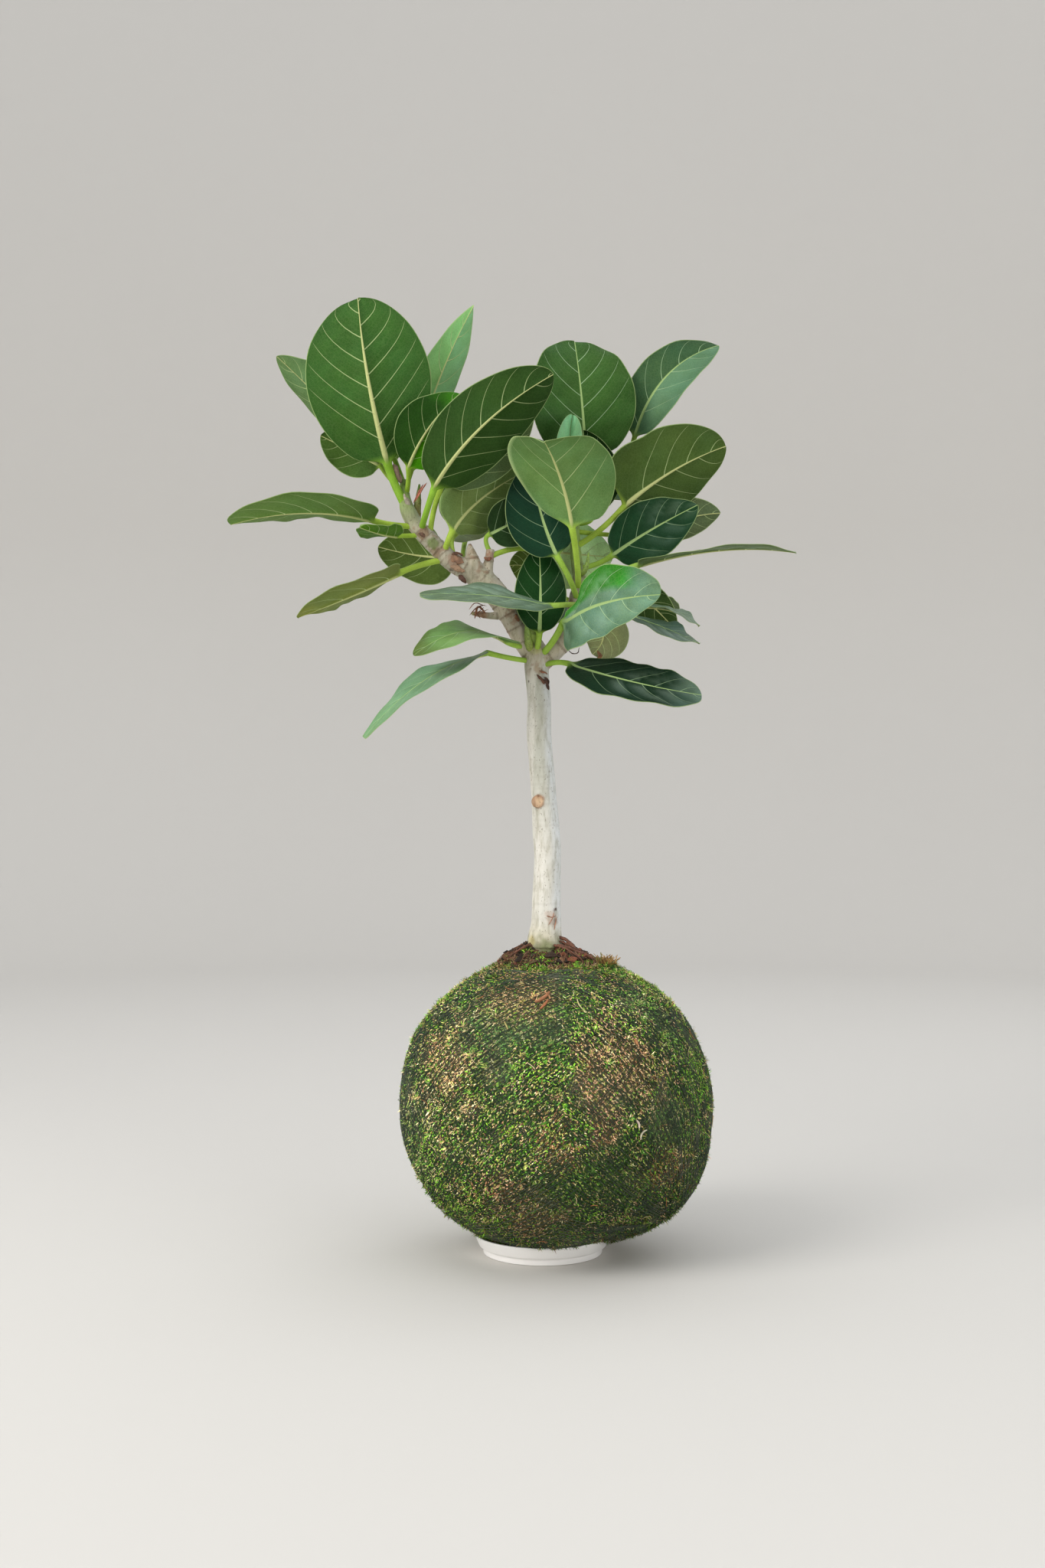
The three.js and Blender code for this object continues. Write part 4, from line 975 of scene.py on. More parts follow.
# torn bark, dried stems and bracts: path, half width, half thickness, colour
scraps = [
    ([(-5.2, -10.6, 484.5), (-1.3, -11.4, 480.6), (1.5, -11.4, 476.1)], 1.3, 0.45, (96, 60, 42)),
    ([(0.5, -10, 480.7), (3.6, -8.4, 476.7), (5.2, -6.6, 471.7)], 1.2, 0.45, (80, 50, 36)),
    ([(-3.2, -10.6, 487.7), (1.2, -10.6, 486.3), (4.2, -7.4, 485.1)], 0.9, 0.4, (128, 84, 60)),
    ([(1.5, -9.8, 482.6), (4, -7.6, 480), (5.6, -5, 476.9)], 0.9, 0.4, (84, 54, 40)),
    ([(-22.4, -9.2, 529.5), (-20.5, -9.8, 523.6), (-18, -8.6, 516.7)], 1.8, 0.4, (150, 104, 68)),
    ([(-24.4, -10, 536.5), (-22.4, -11, 532.5), (-19.9, -10.4, 528.7)], 1.5, 0.4, (132, 88, 58)),
    ([(-78.7, -12.4, 581.5), (-72.9, -14, 580.7), (-65.9, -14.6, 577.6)], 2.8, 0.4, (136, 100, 76)),
    ([(-77.4, -12.6, 575), (-71.6, -14.6, 572.9), (-65.2, -15, 569.9)], 2.2, 0.4, (160, 128, 102)),
    ([(-70.4, -12, 567.6), (-67.1, -14, 564.2), (-64, -12.6, 560.4)], 1.8, 0.4, (88, 56, 40)),
    ([(-76.2, -12, 584.9), (-71, -13, 585.4), (-66.4, -12, 583.9)], 1.3, 0.4, (96, 62, 42)),
    ([(-104.2, -11, 604), (-101, -12.6, 601.4), (-98, -12.4, 599)], 1.6, 0.4, (92, 64, 46)),
    ([(-49, -7.4, 583.3), (-46.2, -8.8, 581), (-42.6, -8, 582.7)], 1.3, 0.4, (124, 78, 54)),
    ([(-48.1, -9, 542.8), (-55.6, -14, 539.9), (-61.4, -12, 533.7)], 0.4, 0.3, (120, 74, 54)),
    ([(-46.8, -9, 541.6), (-56.9, -16, 543.5), (-62, -15, 537.9)], 0.35, 0.3, (134, 86, 62)),
    ([(-49.3, -9, 540.9), (-54.4, -13, 534.9), (-51.9, -12, 531.1)], 0.4, 0.3, (110, 66, 48)),
    ([(-45.5, -8, 539.1), (-51.8, -15, 536.6), (-58.8, -17, 536.4)], 0.35, 0.3, (140, 96, 70)),
    ([(-48.6, -9, 544), (-53.1, -14, 547.6), (-49.3, -12, 550.3)], 0.3, 0.3, (120, 76, 56)),
    ([(-48, -9, 536), (-54, -12, 541), (-57, -11, 531)], 0.9, 0.3, (150, 92, 62)),
    ([(19.5, -5, 508.4), (24.1, -12, 502.1), (29.2, -14, 502.6), (30.5, -13, 507.1)], 0.45, 0.4,
     (70, 50, 40)),
    ([(-97.3, -9, 645), (-101, -12, 638.9), (-106.4, -8.6, 629.9)], 0.8, 0.3, (196, 118, 96)),
    ([(-100, -7, 644.2), (-103.7, -10, 637.4), (-108.6, -6.4, 627.7)], 0.6, 0.3, (170, 96, 78)),
    ([(-119, -1, 645.9), (-122, -4, 653.1), (-125, -6, 661.8)], 2.6, 1.8, (150, 122, 112)),
    ([(-111, -8, 622.7), (-113.2, -10, 628.3), (-116.3, -12, 635.4)], 1.9, 1.2, (176, 164, 150)),
    ([(-3.6, -7.6, 507.1), (-6.4, -11.6, 514.5), (-10.9, -12.6, 524)], 3.2, 0.6, (136, 158, 72)),
    ([(45.7, -1, 505), (48.2, -4, 500.3), (44.3, -6, 496.9)], 1.6, 0.4, (140, 92, 60)),
    ([(11, -10.8, 282), (10.6, -11.6, 277), (9.4, -12.4, 271)], 0.5, 0.35, (172, 126, 100)),
    ([(3, -12.4, 283), (7, -11.6, 282), (11, -10.4, 282.6)], 0.45, 0.35, (168, 122, 98)),
    ([(9.5, -9.6, 288), (8, -11.6, 281), (4.6, -13, 275)], 0.4, 0.35, (180, 136, 112)),
]


def ribbon(path, wide, thick):
    # a flat tube: at each point of the path, cos(a) wide across it and sin(a) thick outwards,
    # both tapering to the ends as 1 - (2s - 1)^4
    along = unit(np.gradient(path, axis=0))
    across = squareTo(np.cross(along, toCamera), along)
    up = np.cross(across, along)
    s = np.linspace(0, 1, len(path))[:, None, None]
    taper = 0.12 + 0.88 * (1 - (2 * s - 1) ** 4)
    a = (tau * np.arange(8) / 8)[None, :, None]
    return path[:, None] + taper * (wide * np.cos(a) * across[:, None] + thick * np.sin(a) * up[:, None])


def growScraps(material):
    # each scrap is a ribbon along a Catmull-Rom curve, its width and colour broken up by noise
    parts = []
    for number, (chain, wide, thick, tone) in enumerate(scraps):
        path, _ = catmullRom(chain, 14)
        path = path + 0.35 * noise(path, 2.5, number)[:, None] * np.array([1, 0.3, 1])
        ragged = 1 + 0.35 * noise(path, 1.8, number + 5)
        points, faces = closedGrid(ribbon(path, wide * ragged[:, None, None], thick))
        parts.append((points, faces, linear(tone) * (1 + 0.45 * noise(points, 1.6, number)[:, None])))
    makeGathered("bark_scraps", parts, material, (), "barkTint")


def growBuds():
    # each bud is a tube with overlapping scales: its radius steps in along a slanted line, three
    # times up the bud
    material = tintMaterial("Bud", "budTint", 700, 0.0004, Roughness=0.5)
    for name, chain in budChains.items():
        path, radius = catmullRom(chain, 30)
        a = tau * np.arange(14) / 14
        run = np.linspace(0, 1, len(path))[:, None]
        scale = 1 + 0.1 * (((run * 3 + 0.5 * (1 + np.cos(a))[None, :]) % 1) - 0.5)
        points, faces = closedGrid(tube(path, radius, 14, scale))
        low, high = (linear(c) for c in budTints[name])
        share = endValues(np.broadcast_to(run, (len(path), 14)))[:, None]
        makePiece(name + "_scales", points, faces, material, [name],
                  dict(budTint=low * (1 - share) + high * share))
    print("roots and buds")


ball = dict(x=11, z=124, radius=130, halfHeight=119.5)
ballSize = np.array([ball["radius"], ball["radius"], ball["halfHeight"]])
mossWaves = [(5, 10, 0.4, 0), (5, -4, 0.4, 0), (9, -6, 0.45, 1)]
# further swellings of the ball: direction from its middle, spread, height in mm
swellings = [((0.74, -0.2, -0.64), 0.62, 7), ((-0.66, -0.1, -0.74), 0.5, 3), ((-0.5, -0.1, 0.86), 0.4, 2),
             ((0.2, 0.7, -0.6), 0.6, 4), ((0.32, -0.44, -0.84), 0.42, -4.5)]
dish = dict(rimRadius=57, height=16, wall=2.2, floor=3.2, footRadius=50, footHeight=5.5,
            shoulderOut=3.4, shoulderUp=0.8, lip=1.5, coveOut=0.8, coveInto=3, coveUp=2)
moss = dict(
    rows=100, columns=180, lumps=1.0, pieces=3, leaflets=44000, long=2.7, broad=0.86,
    top=0.945, bottom=-0.93,  # the heights, -1 to 1, where leaflets end
    scatter=0.007, sway=0.4, astray=0.3,  # off an even spread; off the windings' way; share any way
    tufts=260, inTufts=3700, tuftScatter=0.0085, strays=0.02,  # tufts, and the share that stands up
    shoulder=4, collar=2.2,  # how much fuller than an ellipsoid it is above its middle, and by the soil
    film=(118, 140, 108), shadeFilm=(84, 116, 60),  # thin moss where it is barest, and over the dark regions
    soilShade=(0.36, 0.46, 0.48),  # painted shade: how much darker it is under crowded windings near the soil and at the soil's edge
    colours=dict(dark=(64, 92, 46), green=(108, 176, 68), bright=(166, 228, 74), olive=(200, 202, 116),
                 straw=(255, 246, 204), tan=(240, 206, 162), pink=(238, 188, 160), brown=(172, 122, 92)),
)
# regions of the moss by kind: direction from the ball's middle, spread. Bare ones show more thread
mossPatches = dict(
    pink=[(-0.2, -0.77, -0.61, 0.24), (-0.34, -0.84, -0.42, 0.14), (0.42, -0.77, 0.48, 0.28),
          (0.21, -0.97, 0.13, 0.22), (-0.42, 0.8, 0.2, 0.3)],
    tan=[(-0.73, -0.56, 0.39, 0.33), (0.5, -0.81, 0.29, 0.2), (0.21, -0.87, 0.44, 0.16),
         (-0.29, -0.55, 0.79, 0.24)],
    straw=[(-0.81, -0.59, 0.09, 0.27), (0.47, -0.88, 0.05, 0.09), (0.1, 0.9, 0.5, 0.25)],
    brown=[(0.01, -1, -0.07, 0.22), (0.66, -0.69, -0.3, 0.2), (0.6, 0.7, -0.3, 0.3)],
    bright=[(-0.21, -0.91, 0.37, 0.12), (0.43, -0.64, 0.64, 0.2), (0.17, -0.8, 0.58, 0.12),
            (-0.5, -0.55, -0.67, 0.24), (-0.78, -0.5, -0.37, 0.2), (0.85, -0.39, 0.35, 0.25),
            (-0.5, 0.6, -0.6, 0.3), (0.46, -0.89, -0.02, 0.06)],
    dark=[(0.44, -0.84, -0.31, 0.4), (0.12, -0.95, -0.28, 0.25), (-0.11, -0.87, -0.49, 0.3)],
    bare=[(-0.29, -0.71, 0.64, 0.42), (-0.59, -0.59, 0.55, 0.3), (0.26, -0.95, 0.17, 0.3),
          (0.35, 0.8, 0.5, 0.35), (0.58, -0.5, 0.65, 0.25), (0.68, -0.73, 0.04, 0.25),
          (-0.91, -0.41, 0.07, 0.4)],
)


def ballPoint(direction, rise=0.0):
    # a direction from the ball's middle put on its skin: the unit sphere stretched to the ball's
    # radius and half height, lifted by the slow waves sin(around a + climb z + phase), by fuller
    # shoulders, by the swellings and by rise
    flat = np.hypot(direction[..., 0], direction[..., 1])
    turn = np.arctan2(direction[..., 1], direction[..., 0])
    wave = sum(h * np.sin(n * turn + climb * direction[..., 2] + p) for n, climb, h, p in mossWaves)
    rise = rise + moss["shoulder"] * smooth(0.15, 0.75, direction[..., 2])
    rise = rise + moss["collar"] * smooth(0.86, 0.94, direction[..., 2])
    for middle, spread, height in swellings:
        rise = rise + height * smooth(spread, 0, np.linalg.norm(direction - middle, axis=-1))
    reach = 1 + (wave * flat + rise) / ball["radius"]
    return direction * ballSize * reach[..., None] + (ball["x"], 0, ball["z"])


def clearOfDish(points):
    # points inside the dish's wall are lifted just above it
    r = np.hypot(points[..., 0], points[..., 1])
    rim = dish["rimRadius"]
    inner = dish["footRadius"] + dish["coveOut"]
    slope = np.clip((r - inner) / (rim - dish["wall"] - inner), 0, 1)
    inside = dish["floor"] + dish["coveUp"] + slope * (dish["height"] - dish["floor"] - dish["coveUp"])
    lowest = np.where(r < dish["footRadius"], dish["floor"], inside)
    lowest = np.where(r < rim - dish["wall"], lowest, dish["height"]) + 0.35
    lifted = points.copy()
    lifted[..., 2] = np.where(r < rim + 0.4, np.maximum(points[..., 2], lowest), points[..., 2])
    return lifted


def patchAmount(direction):
    # how strongly each direction belongs to each kind of region: 1 in its middle, ragged at its edge
    amounts = {kind: np.zeros(direction.shape[:-1]) for kind in mossPatches}
    ragged = 0.7 * noise(direction, 0.16, 2.2) + 0.5 * noise(direction, 0.06, 7.2)
    for kind, spots in mossPatches.items():
        for *middle, spread in spots:
            apart = np.linalg.norm(direction - unit(np.array(middle)), axis=-1) + spread * ragged
            amounts[kind] = np.maximum(amounts[kind], smooth(spread * 1.3, spread * 0.2, apart))
    return amounts


thread = dict(
    turns=200, step=5.6, radius=0.34, sides=3,
    lift=1.65, sunk=0.7,  # height over the moss where a winding leads, and where it lies below others
    lean=34, leanSpread=17, drift=1.805,  # degrees: how far a turn's plane leans, varies and moves on
    leanWaves=((0.0628, 2, 0.75), (0.188, 0, 0.25)),  # radians a turn, phase and share of the lean
    bunch=7, bunching=0.6,  # turns from one bunch of windings to the next, and how tight they are
    inBright=0.5, inCrowd=1.7,  # how much deeper it lies in lush moss, and where windings crowd
    colour=(40, 50, 40), wearAndSheen=(104, 116, 100), dusty=(130, 130, 110),
)


def threadRays(step):
    # one long thread: the ray cos(a) across + sin(a) (axis x across) turns once a winding while the
    # plane it turns in leans and moves on round the ball, so each winding lies beside the last.
    # With it, the way it runs and how far it leads: rising windings on one side of the ball,
    # falling ones on the other
    a = np.radians(np.arange(0, thread["turns"] * 360, step))
    turns = a / tau
    bunched = turns + thread["bunching"] * thread["bunch"] / tau * np.sin(tau * turns / thread["bunch"])
    heading = np.radians(thread["drift"] * bunched)
    spread = sum(np.sin(turns * pace + phase) * share for pace, phase, share in thread["leanWaves"])
    lean = np.radians(thread["lean"] + thread["leanSpread"] * spread)
    axis = np.stack([np.cos(lean) * np.cos(heading), np.cos(lean) * np.sin(heading), np.sin(lean)], -1)
    across = unit(np.cross(upright, axis))
    ray = np.cos(a)[:, None] * across + np.sin(a)[:, None] * np.cross(axis, across)
    along = unit(np.gradient(ray, axis=0))
    rising = smooth(-0.15, 0.15, along[:, 2])
    rightSide = smooth(-0.1, 0.25, ray[:, 0] + 0.35 * noise(ray, 0.35, 3.3))
    return ray, along, rising * (1 - rightSide) + (1 - rising) * rightSide


chartSize = np.array([500, 1000])  # cells of the ball's charts, by polar angle and by turn


def cellOf(direction):
    # the cell of a direction in a chart: polar angle / pi and turn / 2 pi of the chart's size
    share = (np.arccos(np.clip(direction[..., 2], -1, 1)) / np.pi,
             np.arctan2(direction[..., 1], direction[..., 0]) / tau % 1)
    return tuple(np.minimum((x * size).astype(int), size - 1) for x, size in zip(share, chartSize))


def pressChart():
    # charts of the ball: how close a leading winding passes (1 under it, less in the cells beside
    # it), which way it runs there, as a turn from upright, where empty cells take a neighbour's,
    # and how crowded the windings are there
    ray, along, leads = threadRays(0.2)
    climb = squareTo(upright, ray)
    cells = cellOf(ray)
    press, way = np.zeros((2, *chartSize))
    np.maximum.at(press, cells, leads)
    ahead = leads > 0.5
    way[cells[0][ahead], cells[1][ahead]] = np.arctan2(
        (along * np.cross(ray, climb)).sum(-1), (along * climb).sum(-1))[ahead]
    known = press > 0.5
    for shift in (1, -1, 2, -2, 3, -3):
        for axis in (0, 1):
            beside = np.roll(known, shift, axis) & ~known
            way[beside] = np.roll(way, shift, axis)[beside]
            known = known | beside
    crowd = (press > 0.5).astype(float)
    for axis in (0, 1):
        crowd = sum(np.roll(crowd, shift, axis) for shift in range(-5, 6)) / 11
    crowd = smooth(0.34, 0.6, crowd)
    for axis in (0, 1):
        press = np.maximum(press, 0.4 * np.maximum(np.roll(press, 1, axis), np.roll(press, -1, axis)))
    return press * (1 - 0.75 * crowd), way, crowd


def spreadDirections(count, shift):
    # a spiral of nearly even directions over a sphere
    k = np.arange(count) + 0.5
    z = 1 - 2 * k / count
    turn = k * np.pi * (1 + 5 ** 0.5) + shift
    r = np.sqrt(1 - z * z)
    return np.stack([r * np.cos(turn), r * np.sin(turn), z], -1)


def leafletColours(direction, rng):
    # each leaflet takes one of the moss colours; where noise or a region favours a colour its
    # share of the draw grows
    count = len(direction)
    amounts = patchAmount(direction)
    dryness = np.clip(amounts["pink"] + amounts["tan"] + amounts["straw"] + amounts["brown"], 0, 1)
    green = 1 - 0.7 * dryness
    glow = smooth(-0.1, 0.45, noise(direction, 0.07, 1.2) + 0.4 * noise(direction, 0.03, 3.1))
    dry = smooth(-0.05, 0.5, noise(direction, 0.06, 4.6) + 0.4 * noise(direction, 0.025, 2.2))
    shade = smooth(0.0, 0.5, noise(direction, 0.08, 8.3))
    shares = dict(
        dark=green * (0.12 + 0.35 * shade + 0.6 * amounts["dark"] + 0.15 * amounts["bare"]),
        green=green * (0.34 - 0.2 * dry), bright=green * (0.04 + 0.3 * glow + 0.6 * amounts["bright"]),
        olive=0.24 + 0 * glow, straw=0.03 + 0.16 * dry + 0.35 * amounts["straw"],
        tan=0.03 + 0.2 * dry + 0.4 * amounts["tan"] + 0.15 * amounts["straw"] + 0.12 * amounts["pink"],
        pink=0.01 + 0.05 * dry + 0.4 * amounts["pink"] + 0.08 * amounts["tan"],
        brown=0.04 + 0.08 * dry + 0.45 * amounts["brown"] + 0.12 * amounts["pink"] + 0.1 * amounts["tan"])
    table = np.stack([shares[key] for key in moss["colours"]])
    reach = np.cumsum(table / table.sum(0), axis=0)
    pick = np.minimum((rng.random(count)[None] > reach).sum(0), len(table) - 1)
    paintedShade = 1 - 0.5 * smooth(-0.2, -0.8, direction[:, 2:])  # painted shade: darker moss low on the ball
    shaded = smooth(0.1, 0.8, direction[:, :1] - 0.4 * direction[:, 2:])  # painted shade on the lower right
    paintedShade = paintedShade * (1 - 0.32 * shaded) * (1, 1, 0.88)
    colour = linear(list(moss["colours"].values()))[pick] * rng.uniform(0.6, 1.4, (count, 1))
    for kind, film in (("bare", moss["film"]), ("dark", moss["shadeFilm"])):
        colour = mixed(colour, film, 0.6 * (amounts[kind] * (1 - 0.9 * dryness))[:, None])
    # painted light: tan and straw moss lighter on the left side, where the light falls
    paintedLeftLight = 1 + 0.35 * np.maximum(amounts["tan"], amounts["straw"]) * smooth(-0.3, -0.6, direction[:, 0])
    return colour * paintedShade * paintedLeftLight[:, None], amounts


def leaflets(name, foot, out, heading, long, broad, colour, material):
    # slim closed slivers of four triangles: two ends and two side points a third of the way
    # along, the near end deeper than the tip; a darker foot, painted shade deep in the moss, and a lighter
    # tip
    side = np.cross(heading, out)
    middle = foot + heading * long[:, None] * 0.36
    points = np.stack([
        foot - out * 0.25, middle + side * broad[:, None] / 2 + out * 0.14,
        middle - side * broad[:, None] / 2, foot + heading * long[:, None]], 1)
    points = clearOfDish(points)
    local = np.array([[0, 2, 1], [1, 2, 3], [0, 1, 3], [0, 3, 2]])
    faces = (local[None] + 4 * np.arange(len(foot))[:, None, None]).reshape(-1, 3)
    shade = np.array([0.4, 1.0, 1.0, 1.35])[None, :, None]
    makePiece(name, points.reshape(-1, 3), [faces], material, (),
              dict(mossTint=(colour[:, None] * shade).reshape(-1, 3)), shiny=False)


def mossLeaflets(name, count, seed, material, chart):
    # leaflets over the whole ball: most lie along the windings, deep under them and swelling up
    # between them; tufts and strays stand clear of the thread
    rng = np.random.default_rng(seed)
    direction = unit(spreadDirections(count, seed) + rng.normal(0, moss["scatter"], (count, 3)))
    middles = unit(rng.normal(0, 1, (moss["tufts"], 3)))
    tufted = np.arange(count) % (count // moss["inTufts"]) == 0
    own = middles[rng.integers(moss["tufts"], size=count)]
    own = unit(own + rng.normal(0, moss["tuftScatter"], (count, 3)))
    direction = np.where(tufted[:, None], own, direction)
    kept = (direction[:, 2] < moss["top"]) & (direction[:, 2] > moss["bottom"])
    direction, tufted = direction[kept], tufted[kept]
    count = len(direction)
    colour, amounts = leafletColours(direction, rng)
    press, way, crowd = (part[cellOf(direction)] for part in chart)
    out = unit(direction / ballSize)
    climb = squareTo(upright, out)
    swing = way + rng.normal(0, moss["sway"], count) + np.pi * (rng.random(count) < 0.5)
    swing = np.where(rng.random(count) < moss["astray"], tau * rng.random(count), swing)
    heading = climb * np.cos(swing)[:, None] + np.cross(out, climb) * np.sin(swing)[:, None]
    tuft = smooth(0.0, 0.55, noise(direction, 0.05, 9.7)) * (1 - 0.8 * amounts["bare"])
    tuft = np.maximum(tuft, 0.7 * amounts["bright"])
    lift = np.abs(rng.normal(0.08, 0.14, count)) + 0.4 * tuft * rng.random(count) * (1 - 0.5 * press)
    stray = tufted | (rng.random(count) < moss["strays"])
    lift = np.where(stray, rng.uniform(0.5, 2.2, count), lift)
    heading = unit(heading + out * lift[:, None])
    long = moss["long"] * rng.uniform(0.6, 1.25, count) * np.where(stray, 1.5, 1)
    broad = moss["broad"] * rng.uniform(0.6, 1.2, count) * np.where(tufted, 1.5, 1)
    thin = np.maximum(amounts["bare"], amounts["dark"])
    above = rng.random(count) < 0.06 + 0.28 * tuft - 0.05 * thin + 0.55 * crowd  # over the thread
    level = rng.uniform(-0.5, 1.3, count) - 1.5 * press
    level = np.where(above, rng.uniform(1.0, 1.9, count), level)
    # painted shade: leaflets under a leading winding are drawn darker; tufted ones a little lighter
    colour = colour * (1.36 - 0.9 * press * (1 - above))[:, None] * np.where(tufted, 1.15, 1)[:, None]
    # painted shade under crowded windings near the soil and round the soil's edge
    nearSoil = crowd * smooth(0.75, 0.9, direction[:, 2])
    nearSoil = np.maximum(nearSoil, smooth(0.9, 0.935, direction[:, 2]))[:, None]
    colour = colour * (1 - nearSoil * moss["soilShade"])
    foot = ballPoint(direction, moss["lumps"] * noise(direction, 0.09, 5.1) + level)
    leaflets(name, foot, out, heading, long, broad, colour, material)


collar = dict(
    count=4600, radius=42, spread=3.2, ragged=7, inner=27, outer=52, onMoss=40, long=4.4, broad=(0.6, 1.4),
    # three fresh colours and three dry ones, and their shares
    colours=("green", "bright", "dark", "tan", "brown", "olive"), fresh=(0.5, 0.3, 0.2), dry=(0.3, 0.5, 0.2),
    drySide=3.6,  # the turn at which it is driest, to the left
    sprigs=[(-2, -33), (-15, -36), (26, -31), (6, -36), (24, 24), (-20, 22), (32, -22), (-6, -19),
            (3, -20), (13, -19), (-13, -15), (-12, 16), (10, 20)],
    inSprig=44, sprigSpread=2.3, sprigBright=0.75, sprigGlow=1.3,
)


def mossCollar(material):
    # longer, drier leaflets that lap over the edge of the soil mound and stand up raggedly there,
    # and small sprigs of fresh green on the mound
    rng = np.random.default_rng(77)
    count = collar["count"]
    turn = tau * rng.random(count)
    ragged = noise(np.stack([np.cos(turn), np.sin(turn), 0 * turn], -1), 0.22, 3)
    r = collar["radius"] + rng.normal(0, collar["spread"], count) + collar["ragged"] * ragged
    r = np.clip(r, collar["inner"], collar["outer"])
    x, y = r * np.cos(turn), r * np.sin(turn)
    fromBall = mound["x"] - ball["x"] + x
    edge = np.stack([fromBall, y, np.sqrt(ball["radius"] ** 2 - fromBall ** 2 - y ** 2)], -1)
    over = ballPoint(unit(edge))[:, 2]
    x = mound["x"] + x
    z = np.maximum(np.where(r > collar["onMoss"], over - 0.6, 0), moundHeight(x, y) + 0.2)
    foot = np.stack([x, y, z], -1)
    drySide = 0.5 + 0.5 * np.cos(turn - collar["drySide"])
    clump = noise(foot, 7, 2.4) + 0.5 * noise(foot, 3, 5.2)
    pick = np.where(clump > 0.35 * drySide, rng.choice(3, count, p=collar["fresh"]),
                    3 + rng.choice(3, count, p=collar["dry"]))
    at = np.repeat(np.array(collar["sprigs"], float), collar["inSprig"], 0)
    at = at + rng.normal(0, collar["sprigSpread"], at.shape)
    foot = np.concatenate([foot, np.column_stack([at, moundHeight(at[:, 0], at[:, 1]) + 0.6])])
    pick = np.append(pick, np.where(rng.random(len(at)) < collar["sprigBright"], 1, 0))
    away = foot[:, :2] - (mound["x"], 0)
    out = unit(np.column_stack([0.02 * away, np.ones(len(foot))]))
    lay = squareTo(rng.normal(0, 1, (len(foot), 3)), out)
    heading = unit(lay + out * np.abs(rng.normal(0.5, 0.6, len(foot)))[:, None])
    long = collar["long"] * rng.uniform(0.5, 1.3, len(foot))
    colour = linear([moss["colours"][key] for key in collar["colours"]])[pick]
    colour = colour * rng.uniform(0.25, 0.85, (len(foot), 1))
    colour = colour * np.clip(0.85 + 0.5 * np.append(clump, np.ones(len(at))), 0.45, 1.35)[:, None]
    colour[count:] *= collar["sprigGlow"]
    broad = rng.uniform(*collar["broad"], len(foot))
    leaflets("moss_collar", foot, out, heading, long, broad, colour, material)


strays = dict(count=150, long=(5, 13), radius=(0.14, 0.34), between=(-0.85, 0.9), lift=1.9,
              colours=[(206, 176, 130), (226, 210, 160), (150, 108, 74), (120, 84, 62), (196, 132, 88)])
# straws and bark flakes seen on the ball: direction, turn from upright in radians, length,
# radius, colour
namedStraws = [
    ((0.14, -0.66, 0.74), 0.35, 15, 0.5, (226, 214, 158)),
    ((-0.09, -0.61, 0.79), -0.7, 15, 1.6, (206, 146, 108)),
    ((-0.08, -0.66, 0.75), -0.5, 11, 1.2, (190, 124, 88)),
    ((-0.06, -0.6, 0.8), 0.5, 10, 0.8, (216, 164, 124)),
    ((0.5, -0.86, -0.04), -0.6, 9, 0.8, (240, 232, 204)),
    ((0.46, -0.88, 0.03), 0.3, 7, 0.9, (232, 214, 196)),
    ((-0.5, -0.75, 0.43), 0.7, 11, 0.4, (220, 200, 160)),
    ((-0.16, -0.9, 0.4), 0.9, 9, 0.4, (240, 220, 180)),
    ((0.45, -0.72, 0.52), 0.2, 5, 1.3, (196, 140, 96)),
    ((-0.3, -0.72, 0.62), 0.6, 8, 0.7, (214, 200, 130)),
]


def strewBits(material):
    # dry stems and flakes caught under the thread: flattened tubes along short arcs of the ball,
    # bowed by a parabola, the ends lifted a little
    rng = np.random.default_rng(31)
    bits = [(unit(np.array(direction)), *rest) for direction, *rest in namedStraws]
    for _ in range(strays["count"]):
        direction = unit(rng.normal(0, 1, 3))
        tone = strays["colours"][rng.integers(len(strays["colours"]))]
        bits.append((direction, rng.uniform(-1.6, 1.6), rng.uniform(*strays["long"]),
                     rng.uniform(*strays["radius"]), tone))
    s = np.linspace(-0.5, 0.5, 7)[:, None]
    parts = []
    for direction, turn, long, radius, tone in bits:
        if not strays["between"][0] < direction[2] < strays["between"][1]:
            continue
        climb = squareTo(upright, direction)
        ahead = climb * np.cos(turn) + np.cross(direction, climb) * np.sin(turn)
        aside = np.cross(direction, ahead)
        bow = rng.normal(0, 0.12) * long * (1 - 4 * s ** 2)
        ray = unit(direction + (ahead * s * long + aside * bow) / ball["radius"])
        path = ballPoint(ray, strays["lift"] + 0.8 * radius + 6 * rng.random() * s[:, 0] ** 2)
        points, faces = closedGrid(tube(path, radius * (1 - 1.6 * s[:, 0] ** 2), 5))
        colour = linear(tone) * rng.uniform(0.7, 1.1) * (1 + 0.25 * noise(points, 1.7, 3)[:, None])
        parts.append((points, faces, colour))
    makeGathered("moss_straws", parts, material, (), "mossTint")


